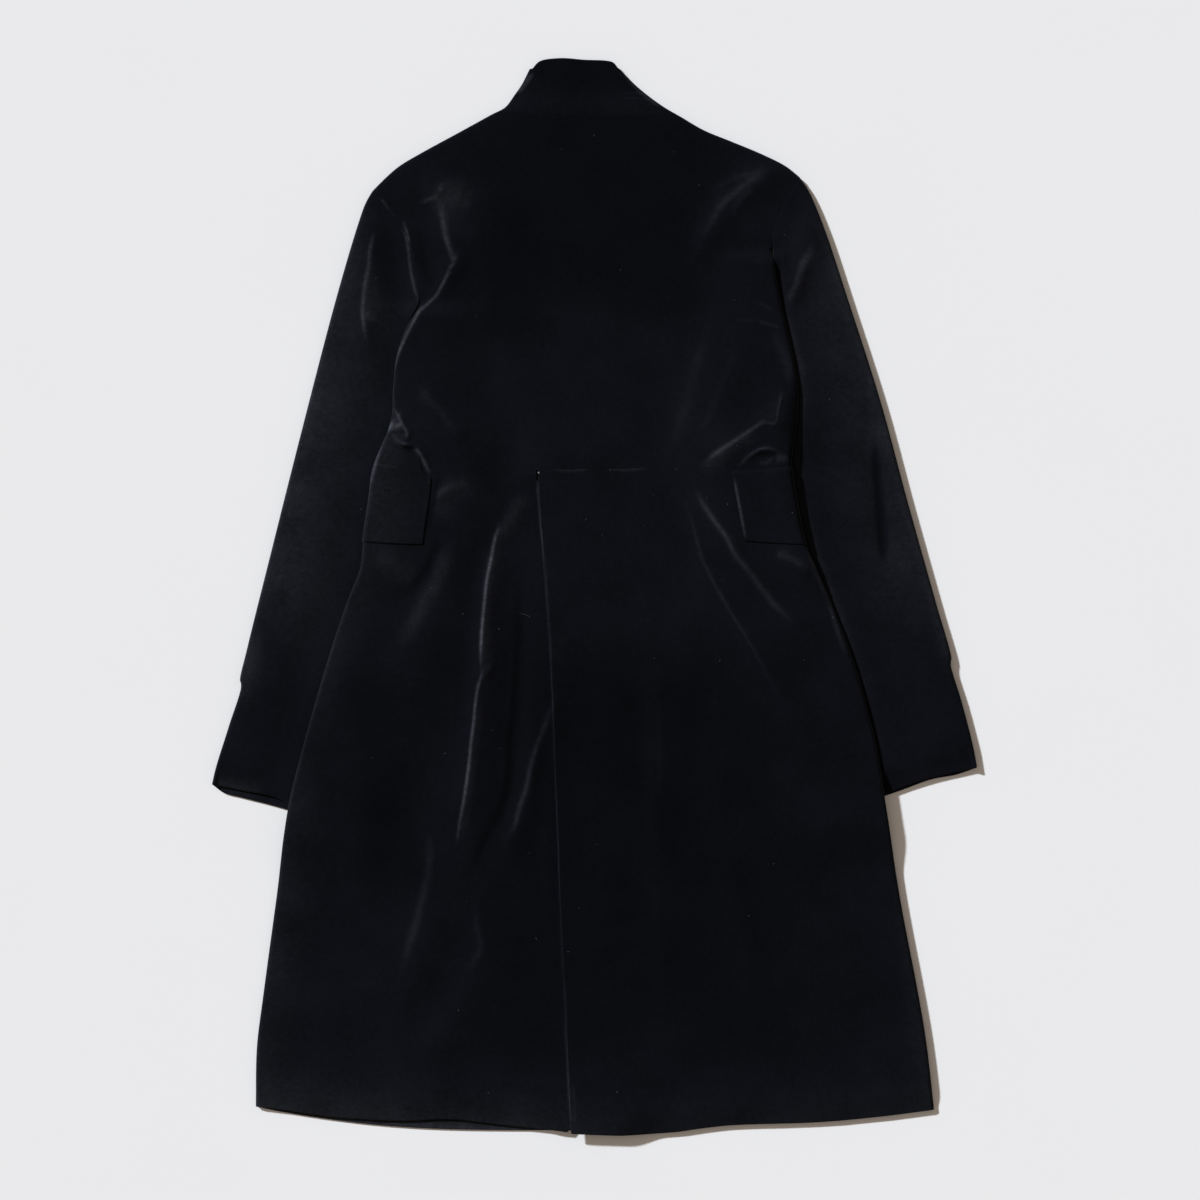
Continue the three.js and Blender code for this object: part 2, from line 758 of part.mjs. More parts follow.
const upperArmhole = (side) => ({ whole: part(armhole[side], 0, SEAM_START[side]), steps: ROWS.upperArmhole });
const lowerArmhole = (side) => ({
  whole: part(armhole[side], SEAM_START[side] + BLUNT, 1),
  steps: ROWS.lowerArmhole,
});
const bodiceSide = (side) => ({
  whole: sideEdge(side, underarm[side], waistCorner[side].y),
  steps: ROWS.side,
});
const skirtSide = (side) => ({
  whole: sideEdge(side, waistCorner[side].y, hemCorner[side].y, skirtSpacing),
  steps: ROWS.skirt,
});

// Bodice ---------------------------------------------------------------------------------------------

const seamRows = ROWS.lowerArmhole + ROWS.side;
const neck = (share) => [
  THREE.MathUtils.lerp(SHOULDER.left.at(-1).x, SHOULDER.right.at(-1).x, share),
  THREE.MathUtils.lerp(SHOULDER.left.at(-1).y, SHOULDER.right.at(-1).y, share),
];
const seamX = eachSide((side) => SIDE_BACK[side].at(-1).x);
const waist = (from, to) => (share) => {
  const x = from + (to - from) * share;
  return [x, waistAt(x)];
};
const nearShoulder = [0.004, 0.0135]; // rows on the rounded shoulder, as shares of the bodice's length

piece("bodice_centre_back", COLOUR.back, {
  plan: patch({
    left: chained(upperArmhole("left"), { whole: sideBack.left, steps: seamRows }),
    right: chained(upperArmhole("right"), { whole: sideBack.right, steps: seamRows }),
    top: chained(
      { whole: shoulder.left, steps: COLUMNS.backShoulder },
      { whole: neck, steps: COLUMNS.neck },
      { whole: backwards(shoulder.right), steps: COLUMNS.backShoulder },
    ),
    bottom: waist(seamX.left, seamX.right),
  }),
  rows: [0, ...nearShoulder, ...evenShares(ROWS.upperArmhole + seamRows)().slice(1)],
  columns: evenShares(2 * COLUMNS.backShoulder + COLUMNS.neck),
  face: bodiceBack,
  seams: { left: HALF_SEAM, right: HALF_SEAM, top: HALF_SEAM, bottom: HALF_SEAM },
});

const NARROW = 30; // rows under this width have no room for the lines beside a folded edge
for (const side of SIDES) {
  const isLeft = side === "left";
  const outer = chained(lowerArmhole(side), bodiceSide(side));
  const blunt = part(armhole[side], SEAM_START[side], SEAM_START[side] + BLUNT);
  const edgeX = waistCorner[side].x;
  piece(`bodice_side_back_${side}`, COLOUR.back, {
    plan: patch({
      left: isLeft ? outer : sideBack[side],
      right: isLeft ? sideBack[side] : outer,
      top: isLeft ? backwards(blunt) : blunt,
      bottom: isLeft ? waist(edgeX, seamX.left) : waist(seamX.right, edgeX),
    }),
    rows: evenShares(seamRows)(),
    columns: (width) =>
      width > NARROW ? shares(width, COLUMNS.sideBack, isLeft, !isLeft) : evenShares(COLUMNS.sideBack + 2)(),
    face: bodiceBack,
    seams: {
      left: isLeft ? 0 : HALF_SEAM,
      right: isLeft ? HALF_SEAM : 0,
      top: HALF_SEAM,
      bottom: HALF_SEAM,
    },
  });
}

// Back skirt -----------------------------------------------------------------------------------------

const hem = (reader, from, to) => (share) => {
  const x = from + (to - from) * share;
  return [x, reader(x)];
};
const vent = (offset, from, to) => (share) => {
  const y = from + (to - from) * skirtSpacing(share);
  return [ventAt(y) + offset, y];
};

const ventEnd = VENT.at(-1);
const underlapX = { waist: VENT[0].x + LAP, hem: ventEnd.x + LAP };
const leftHemAt = (x) => hemAt(x) + UNDERLAP_SHORT * smooth(-UNDERLAP_STEP, 0, x - ventEnd.x);
piece("skirt_back_left", COLOUR.back, {
  plan: patch({
    left: skirtSide("left").whole,
    right: vent(LAP, waistAt(underlapX.waist), leftHemAt(underlapX.hem)),
    top: waist(waistCorner.left.x, underlapX.waist),
    bottom: hem(leftHemAt, hemCorner.left.x, underlapX.hem),
  }),
  rows: evenShares(ROWS.skirt)(),
  columns: (width) => shares(width, COLUMNS.skirtLeft, true, false),
  face: leftSkirtBack,
  seams: { top: HALF_SEAM },
});
piece("skirt_back_right", COLOUR.back, {
  plan: patch({
    left: vent(0, waistAt(VENT[0].x), hemAt(ventEnd.x)),
    right: skirtSide("right").whole,
    top: waist(VENT[0].x, waistCorner.right.x),
    bottom: hem(hemAt, ventEnd.x, hemCorner.right.x),
  }),
  rows: evenShares(ROWS.skirt)(),
  columns: (width) => shares(width, COLUMNS.skirtRight, false, true),
  face: rightSkirtBack,
  seams: { top: HALF_SEAM },
});

// Fronts ---------------------------------------------------------------------------------------------

const frontSteps = {
  down: ROWS.upperArmhole + ROWS.lowerArmhole + ROWS.side + ROWS.skirt,
  across: COLUMNS.frontShoulder + COLUMNS.neckline,
};
const nearFrontShoulder = [0.0013, 0.0045]; // shares of the whole front's length
for (const side of SIDES) {
  const isLeft = side === "left";
  const outer = chained(upperArmhole(side), lowerArmhole(side), bodiceSide(side), skirtSide(side));
  const neckEnd = NECKLINE[side].at(-1);
  const centre = (share) => [neckEnd.x, THREE.MathUtils.lerp(neckEnd.y, frontHemAt(neckEnd.x), share)];
  const top = chained(
    { whole: shoulder[side], steps: COLUMNS.frontShoulder },
    { whole: neckline[side], steps: COLUMNS.neckline },
  );
  const bottom = hem(frontHemAt, hemCorner[side].x, neckEnd.x);
  piece(`front_${side}`, COLOUR.front, {
    plan: patch({
      left: isLeft ? outer : centre,
      right: isLeft ? centre : outer,
      top: isLeft ? top : backwards(top),
      bottom: isLeft ? bottom : backwards(bottom),
    }),
    rows: [0, ...nearFrontShoulder, ...evenShares(frontSteps.down)().slice(1)],
    columns: (width) => {
      const even = evenShares(frontSteps.across)().slice(1);
      const folded = [0, ROLL_STEP / width, EDGE_STACK / 2 / width, ...even];
      return isLeft ? folded : folded.map((share) => 1 - share).reverse();
    },
    face: front,
    seams: { top: HALF_SEAM },
  });
}

// Sleeves --------------------------------------------------------------------------------------------

const SLEEVE_PIECES = [
  { name: "back", cuff: "backCuff", up: 1, columns: 8, colour: COLOUR.back },
  { name: "front", cuff: "frontCuff", up: -1, columns: 4, colour: COLOUR.front },
];
const SLEEVE_ROWS = 20;
const FAN = 1.6; // the rows fan out from the underarm
const ARMHOLE_GAP = 0.8; // the sleeve's side of the armhole seam
for (const side of SIDES) {
  for (const { name, cuff, up, columns, colour } of SLEEVE_PIECES) {
    const outer = curve(SLEEVE[side].outer);
    const edge = curve(SLEEVE[side].inner);
    const inner = (share) => edge(share ** FAN);
    const end = curve(SLEEVE[side][cuff]);
    const isLeft = side === "left";
    piece(`sleeve_${side}_${name}`, colour, {
      plan: patch({
        left: isLeft ? outer : inner,
        right: isLeft ? inner : outer,
        top: isLeft ? armhole[side] : backwards(armhole[side]),
        bottom: isLeft ? end : backwards(end),
      }),
      rows: evenShares(SLEEVE_ROWS)(),
      columns: (width) => shares(width, columns, true, true),
      face: sleeveFace(side, up),
      seams: { top: ARMHOLE_GAP },
    });
  }
}

// Collar ---------------------------------------------------------------------------------------------

const COLLAR_ROWS = 4;
const COLLAR_ROLL_STEPS = 4;
const collarRadius = COLLAR_STACK / 2;
const foldAxis = eachSide((side) => {
  const outline = curve(COLLAR_FOLD[side]);
  return (share) => {
    const [x, y] = outline(share);
    return [x + inward[side] * collarRadius, y];
  };
});
const asPoint = ([x, y]) => ({ x, y });
const collarPatch = {
  back: patch({
    left: foldAxis.left,
    right: foldAxis.right,
    top: (share) => {
      const [from, to] = [foldAxis.left(0), foldAxis.right(0)];
      return [0, 1].map((axis) => THREE.MathUtils.lerp(from[axis], to[axis], share));
    },
    bottom: curve([asPoint(foldAxis.left(1)), ...COLLAR_TOP.back.slice(1, -1), asPoint(foldAxis.right(1))]),
  }),
  ...eachSide((side) => {
    const end = [NECKLINE[side].at(-1), COLLAR_TOP[side].at(-1)];
    return patch({
      left: foldAxis[side],
      right: (share) => [
        THREE.MathUtils.lerp(end[0].x, end[1].x, share),
        THREE.MathUtils.lerp(end[0].y, end[1].y, share),
      ],
      top: neckline[side],
      bottom: curve(COLLAR_TOP[side]),
    });
  }),
};
const UP = new THREE.Vector3(0, 0, 1);

function collarHalf(side, v) {
  const ends = Array.from({ length: COLUMNS.neckline }, (_, i) => {
    const [x, y] = collarPatch[side](1 - i / COLUMNS.neckline, v);
    return { point: new THREE.Vector3(x, y, 0), normal: UP.clone().negate() };
  });
  const [foldX, foldY] = foldAxis[side](v);
  const roll = Array.from({ length: COLLAR_ROLL_STEPS + 1 }, (_, i) => {
    const angle = Math.PI * (i / COLLAR_ROLL_STEPS - 0.5);
    const normal = new THREE.Vector3(-inward[side] * Math.cos(angle), 0, Math.sin(angle));
    const axis = new THREE.Vector3(foldX, foldY, collarRadius);
    return { point: axis.addScaledVector(normal, collarRadius), normal };
  });
  return [...ends, ...roll];
}

const collarGrid = evenShares(COLLAR_ROWS)().map((v) => {
  const middle = Array.from({ length: COLUMNS.neck - 1 }, (_, i) => {
    const [x, y] = collarPatch.back((i + 1) / COLUMNS.neck, v);
    return { point: new THREE.Vector3(x, y, COLLAR_STACK), normal: UP.clone() };
  });
  return [...collarHalf("left", v), ...middle, ...collarHalf("right", v).reverse()];
});
// The seam row stands off the neck seam, towards the row above it.
collarGrid[0].forEach((rib, i) => {
  const towards = minus(collarGrid[1][i].point, rib.point).setZ(0).normalize();
  rib.point.addScaledVector(towards, SEAM);
});
wall(
  "collar",
  COLOUR.trim,
  collarGrid.map((line) => line.map((rib) => rib.point)),
  collarGrid.map((line) => line.map((rib) => rib.normal)),
);

// Flaps ----------------------------------------------------------------------------------------------

const FLAP_ROWS = 5;
const FLAP_STEPS = { over: 6, roll: 6, under: 4 };
const backFace = { left: leftSkirtBack, right: rightSkirtBack };
const WAIST_GAP = 0.45;

// A point off the body's outer face, a distance along the cloth from its folded side edge: over the
// back where the distance is positive, and under the front where it is negative.
function roundTheSide(side, along, y, out) {
  const edge = edgeAt[side](y);
  const radius = EDGE_STACK / 2;
  const quarter = (Math.PI / 2) * radius;
  if (Math.abs(along) < quarter) {
    const angle = along / radius;
    const normal = new THREE.Vector3(-inward[side] * Math.cos(angle), 0, Math.sin(angle));
    const axis = new THREE.Vector3(edge + inward[side] * radius, y, body.middle(edge, y));
    return { point: axis.addScaledVector(normal, radius + out), normal };
  }
  const x = edge + inward[side] * (radius + Math.abs(along) - quarter);
  const face = along > 0 ? backFace[side] : front;
  const normal = new THREE.Vector3(0, 0, face.up);
  return { point: new THREE.Vector3(x, y, heightOf(face, x, y)).addScaledVector(normal, out), normal };
}

for (const side of SIDES) {
  const quarter = (Math.PI / 4) * EDGE_STACK;
  const { over, roll, under } = FLAP_STEPS;
  const alongs = [
    ...Array.from({ length: over }, (_, i) => THREE.MathUtils.lerp(FLAP_OVER, quarter, i / over)),
    ...Array.from({ length: roll + 1 }, (_, i) => THREE.MathUtils.lerp(quarter, -quarter, i / roll)),
    ...Array.from({ length: under }, (_, i) => THREE.MathUtils.lerp(-quarter, -FLAP_UNDER, (i + 1) / under)),
  ];
  const drop = FLAP_DROP[side];
  const grid = evenShares(FLAP_ROWS)().map((v) =>
    alongs.map((along) => {
      const onBack = clamp(along / FLAP_OVER, 0, 1);
      const top = waistAt(waistCorner[side].x + inward[side] * Math.max(along, 0)) - WAIST_GAP;
      const y = top - v * THREE.MathUtils.lerp(drop.outer, drop.inner, onBack);
      return roundTheSide(side, along, y, FLAP_GAP + WALL);
    }),
  );
  wall(
    `flap_${side}`,
    COLOUR.trim,
    grid.map((line) => line.map((rib) => rib.point)),
    grid.map((line) => line.map((rib) => rib.normal)),
  );
}

export default group;
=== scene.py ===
"""A black velvet coat that lies flat on its front, seen from above: stand collar, long sleeves with a short
vent at the cuff, fitted back, flaps at the waist and a back skirt whose right panel laps over the left.

Millimetres, turned to metres as each mesh is made. +Y runs from the hem to the collar and +Z up through
the coat. Left and right are as seen from above. A piece of cloth is a grid of points on its outer face
and the same grid moved in by the cloth, as in the solids, with finer folds and turned edges.
"""

import math

import bmesh
import bpy
import numpy as np
from mathutils import Matrix, Vector


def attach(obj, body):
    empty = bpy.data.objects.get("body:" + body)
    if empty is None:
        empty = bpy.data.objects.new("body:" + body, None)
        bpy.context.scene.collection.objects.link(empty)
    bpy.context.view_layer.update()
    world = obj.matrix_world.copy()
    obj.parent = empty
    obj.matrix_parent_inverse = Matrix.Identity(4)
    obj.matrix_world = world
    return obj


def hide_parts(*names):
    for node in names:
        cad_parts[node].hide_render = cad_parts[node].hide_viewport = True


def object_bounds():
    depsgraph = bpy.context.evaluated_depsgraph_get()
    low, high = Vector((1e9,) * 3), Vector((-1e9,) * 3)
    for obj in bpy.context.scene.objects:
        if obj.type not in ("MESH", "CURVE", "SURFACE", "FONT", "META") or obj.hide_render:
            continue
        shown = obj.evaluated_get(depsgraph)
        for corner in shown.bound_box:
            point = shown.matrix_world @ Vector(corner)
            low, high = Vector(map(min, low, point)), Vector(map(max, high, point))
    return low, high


bl_info = {
    "name": "Velvet coat laid flat",
    "version": (1, 0, 0),
    "blender": (4, 5, 0),
    "location": "3D View > Sidebar > Coat",
    "description": "Dresses the solids of a velvet coat with its cloth, sewing, floor and light",
    "category": "Object",
}

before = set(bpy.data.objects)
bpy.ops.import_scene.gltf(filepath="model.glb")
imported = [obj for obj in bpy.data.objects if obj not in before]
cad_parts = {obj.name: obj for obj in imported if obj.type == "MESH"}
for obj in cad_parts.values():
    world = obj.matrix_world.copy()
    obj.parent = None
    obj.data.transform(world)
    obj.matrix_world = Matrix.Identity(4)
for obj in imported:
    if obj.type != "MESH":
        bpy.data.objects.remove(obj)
CAD_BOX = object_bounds()
BODY_NAME = "root"
MM = 0.001

# Cloth and how it lies, as in the solids ------------------------------------------------------------

WALL = 2.0  # velvet with its lining
SEAM = 0.3  # between two pieces that are sewn together
FLAT_STACK = 5.6  # front and back of the body together, where they lie flat
EDGE_STACK = 7.6  # the same at folded edges, at the hem and in a free sleeve
EDGE_REACH = 60.0  # the stack thins over this distance from an edge
LEAST_STACK = 2 * WALL + 0.6
PRESSED_STACK = 5.2  # a sleeve under the body
CLEAR = 0.5  # between pieces that lie on each other
DRAPE = 70.0  # the body comes down beside a sleeve over this distance
DRAPE_START = 15.0  # past the sleeve's inner edge
EDGE_CALM = 14.0  # folds die away over this distance to a folded edge
UNDERARM_TURN = 5  # rows of a sleeve's inner table that lead round the underarm

# Stretches over which something comes in: none of it at the first number, all of it at the second.
SLEEVE_SWELL = (12.0, 50.0)  # outside the body's edge, where a sleeve grows thicker
SLEEVE_TOP = (5.0, -15.0)  # past the underarm, where a sleeve lifts the body
SLEEVE_END = (-65.0, -12.0)  # past the end of the inner cuff
FLAP_INSIDE = (90.0, 18.0)  # past a flap's end on the front, where that lifts the body
FLAP_BELOW = (-10.0, 38.0)  # heights on the coat
FLAP_ABOVE = (190.0, 142.0)
LAP_FREE = (-4.0, -26.0)  # beside the vent, where the left skirt comes out of the lap

LAP = 42.0  # how far the left skirt runs under the right one
LAP_RISE = WALL + 0.8
LAP_START = -30.0  # the back starts to rise this far before the vent
LAP_ABOVE = 60.0  # and rises so high up the bodice
LAP_FALL = 50.0  # the right skirt comes down over this distance past the lap
UNDERLAP_SHORT = 5.0  # the hidden lap ends above the hem
UNDERLAP_STEP = 4.0  # the hem comes up to it over this distance

EDGE_RADIUS = EDGE_STACK / 2  # of the body's folded side
EDGE_QUARTER = math.pi / 2 * EDGE_RADIUS  # along the cloth, from the side to the flat of the back
FLAP_OVER = 62.0  # on the back, from the folded side
FLAP_UNDER = 45.0  # round the side, on the front
FLAP_GAP = 1.0
FLAP_DROP = {"left": {"inner": 69.0, "outer": 73.0}, "right": {"inner": 70.0, "outer": 79.0}}
WAIST_GAP = 0.45
COLLAR_STACK = FLAT_STACK
FAN = 1.6  # a sleeve's rows fan out from the underarm
BLUNT = 0.06  # the side back's upper corner is this share of the armhole wide

# Tables ---------------------------------------------------------------------------------------------


def table(columns, rows):
    """Rows of numbers as named columns."""
    return dict(zip(columns.split(), np.array(rows, float).T))


# The folded side edges of bodice and skirt, from the underarm to the hem.
BODY = table("y left right", [
    [346.5, -174.5, 177.5], [320, -174.5, 181.5], [293.5, -174.5, 186.5], [266.5, -189.5, 192.5],
    [236.5, -198.5, 199], [206.5, -201.5, 203.5], [181.5, -202.5, 203], [156.5, -209.5, 199.5],
    [128.5, -220.5, 197], [96.5, -225, 201.5], [55.5, -231, 210], [28.5, -234, 221.5],
    [-5.5, -247.5, 236.5], [-56.5, -264.5, 256.5], [-103.5, -278.5, 270.5], [-148.5, -291, 281.5],
    [-211.5, -306.5, 292], [-303.5, -319, 306.5], [-403.5, -332.5, 325.5], [-453.5, -338.5, 333.5],
    [-520, -339.5, 341],
])

# The sleeves' folded edges. The inner ones run under the body.
SLEEVE = {
    "left": {
        "outer": table("x y", [
            [-222.5, 406.5], [-229.5, 394], [-237.5, 371.5], [-259.5, 296.5], [-298.5, 146.5], [-324, 45],
            [-348.5, -53.5], [-355.3, -84.5], [-353.9, -88.5], [-366.5, -130], [-379.5, -171.5],
            [-383.5, -188.5],
        ]),
        "inner": table("x y", [
            [-174.5, 293.5], [-175.8, 287.5], [-177.5, 279], [-180, 270], [-182, 258], [-182, 236],
            [-175, 205], [-160, 168], [-150, 130], [-157.5, 46.5], [-186.5, -53.5], [-226.5, -153.5],
            [-256, -228],
        ]),
        "backCuff": table("x y", [
            [-383.5, -188.5], [-350, -195], [-319.5, -201.5], [-300, -211], [-256, -228],
        ]),
        "frontCuff": table("x y", [
            [-383.5, -188.5], [-372, -197], [-355, -201.5], [-323.5, -209.5], [-290, -219], [-256, -228],
        ]),
    },
    "right": {
        "outer": table("x y", [
            [205.5, 420.5], [214.5, 407], [229.5, 371.5], [254.5, 296.5], [286.5, 196.5], [313.5, 96.5],
            [341.5, -3.5], [357.8, -63], [356.8, -67], [367.5, -103.5], [379.5, -150], [383.5, -171.5],
        ]),
        "inner": table("x y", [
            [177.5, 346.5], [177.4, 341], [177.2, 334], [177.2, 325], [177.6, 312], [178, 290], [176, 262],
            [166, 228], [154, 190], [147, 146], [163, 46.5], [194, -53.5], [236, -153.5], [256, -212],
        ]),
        "backCuff": table("x y", [
            [383.5, -171.5], [366, -175.5], [340, -181.5], [308, -191.5], [256, -212],
        ]),
        "frontCuff": table("x y", [
            [383.5, -171.5], [373, -175.5], [362, -179], [338, -183.5], [306, -195], [256, -212],
        ]),
    },
}

# Seams and free edges of the body.
SHOULDER = {
    "left": table("x y", [
        [-222.5, 406.5], [-208.5, 420.5], [-195.5, 431.5], [-175.5, 443.5], [-131.5, 467.5],
        [-102.5, 483.5],
    ]),
    "right": table("x y", [
        [205.5, 420.5], [191.5, 431.5], [167.5, 443.5], [137.5, 456], [109.5, 467.5], [85.5, 481.5],
    ]),
}
ARMHOLE = {
    "left": table("x y", [
        [-222.5, 406.5], [-209.5, 391.5], [-196, 374.5], [-184.5, 352], [-178, 324], [-174.5, 293.5],
    ]),
    "right": table("x y", [
        [205.5, 420.5], [197.5, 408], [189, 395], [181.5, 378], [178, 362], [177.5, 346.5],
    ]),
}
# How far down the armhole the side-back seam starts.
SEAM_START = {"left": 0.34, "right": 0.38}
SIDE_BACK = {
    "left": table("x y", [
        [-170, 356.5], [-147, 328.5], [-134.5, 296.5], [-127.5, 246.5], [-124.5, 186.5], [-123.5, 121],
    ]),
    "right": table("x y", [
        [158, 374.5], [134, 346.5], [121.5, 316.5], [116.5, 257.5], [98.5, 194.5], [77.5, 130],
    ]),
}
WAIST = table("x y", [
    [-220.5, 128.5], [-190, 124.5], [-157.5, 121.5], [-123.5, 121], [-56.5, 126.5], [48.5, 128.5],
    [81.5, 130], [114.5, 127], [142.5, 126.5], [197, 131],
])
VENT = table("x y", [
    [-56.5, 126.5], [-56, 108], [-51.5, 32.5], [-46.5, -37.5], [-41.5, -121], [-38, -220], [-35, -300],
    [-29.5, -403.5], [-25.5, -503.5], [-23.5, -540],
])
BACK_HEM = table("x y", [
    [-339.5, -511.5], [-309.5, -515], [-264.5, -521.5], [-194.5, -525.5], [-144.5, -524], [-94.5, -529.5],
    [-34.5, -535.8], [-23.5, -537.5], [5.5, -539], [32.5, -539.5], [80.5, -537], [105.5, -533.5],
    [138.5, -530], [224.5, -527], [285.5, -521.5], [341, -514.5],
])
FRONT_HEM = table("x y", [
    [-339.5, -511.5], [-319.5, -516], [-269.5, -524], [-219.5, -530], [-169.5, -533.5], [-119.5, -535],
    [-5, -536], [32.5, -538], [80.5, -535.5], [138.5, -528.5], [224.5, -525.5], [285.5, -520],
    [341, -514.5],
])
NECKLINE = {
    "left": table("x y", [[-102.5, 483.5], [-88, 441], [-58, 392], [-6.5, 353.5]]),
    "right": table("x y", [[85.5, 481.5], [73, 441], [44, 392], [-3.5, 353.5]]),
}
COLLAR_FOLD = {
    "left": table("x y", [[-102.5, 483.5], [-89.5, 490.5], [-80, 503], [-72.5, 514], [-65, 529]]),
    "right": table("x y", [[85.5, 481.5], [70, 490.5], [52, 503.5], [37.5, 516], [25, 529]]),
}
COLLAR_TOP = {
    "back": table("x y", [[-65, 529], [-55, 536.3], [-34.5, 539.5], [-12, 538], [19, 535], [25, 529]]),
    "left": table("x y", [[-65, 529], [-50, 480], [-30, 436], [-6.5, 405]]),
    "right": table("x y", [[25, 529], [22, 480], [10, 436], [-3.5, 405]]),
}

# The largest folds: each follows its points, and falls away to its left and right over these widths.
# They run down the coat, so that left and right are those of the coat.
BACK_FOLDS = [
    ("left blade", 2.0, 13, 18, [(-158, 398), (-148, 362), (-137, 345), (-146, 323), (-166, 300)]),
    ("left shoulder", 2, 10, 12, [(-178, 412), (-150, 410), (-122, 400)]),
    ("right shoulder", 2.4, 14, 24, [(196, 424), (172, 422), (150, 408), (128, 384), (110, 352), (96, 322)]),
    ("right waist", 2.6, 12, 16, [(190, 214), (183, 178), (165, 168), (138, 150), (112, 132)]),
    ("left waist", 1.6, 10, 12, [(-176, 206), (-152, 178), (-128, 152)]),
    ("left sharp", 3.2, 10, 18, [
        (-94, 66), (-102, 31), (-108, -3), (-111, -53), (-115, -93), (-121, -143), (-129, -203), (-138, -246),
    ]),
    ("left trough", -1.8, 12, 14, [
        (-74, 24), (-78, -43), (-83, -133), (-89, -193), (-101, -243), (-116, -273), (-132, -306),
    ]),
    ("left of vent", 2.2, 17, 16, [(-44, -86), (-52, -150), (-62, -186), (-75, -232), (-84, -272)]),
    ("left low", 2, 15, 20, [(-152, -255), (-163, -323), (-173, -363), (-183, -393), (-196, -440)]),
    ("left hem", 1.6, 16, 22, [
        (-110, -310), (-108, -353), (-116, -383), (-136, -413), (-162, -453), (-186, -482),
    ]),
    ("left broad", 1.8, 18, 26, [
        (-118, 112), (-133, 66), (-148, 26), (-163, -14), (-188, -64), (-206, -110),
    ]),
    ("left of flap", 1.2, 8, 9, [(-134, 117), (-146, 108), (-158, 92)]),
    ("right broad", 2.4, 13, 22, [
        (92, 126), (110, 96), (126, 66), (146, 36), (170, 6), (200, -24), (212, -40),
    ]),
    ("right long", 1.8, 10, 15, [
        (78, 108), (94, 84), (107, 51), (115, 26), (134, -6), (156, -44), (172, -70), (202, -124),
        (230, -176),
    ]),
    ("right below flap", 1.6, 8, 10, [(184, 46), (202, 32), (220, 22)]),
    ("right centre", 1.6, 12, 16, [(54, -30), (60, -150), (65, -250), (70, -410)]),
    ("right side", 1.8, 16, 22, [(108, -90), (130, -220), (150, -340), (166, -506)]),
]
SLEEVE_FOLDS = [
    ("left elbow", 1.8, 14, 18, [
        (-222, 356), (-230, 326), (-230, 286), (-227, 256), (-217, 226), (-204, 206),
    ]),
    ("right arm", 2.2, 12, 15, [(222, 388), (213, 356), (205, 326), (194, 292)]),
    ("right groove", -1.4, 9, 12, [(272, 206), (278, 146), (292, 46), (300, 20)]),
]

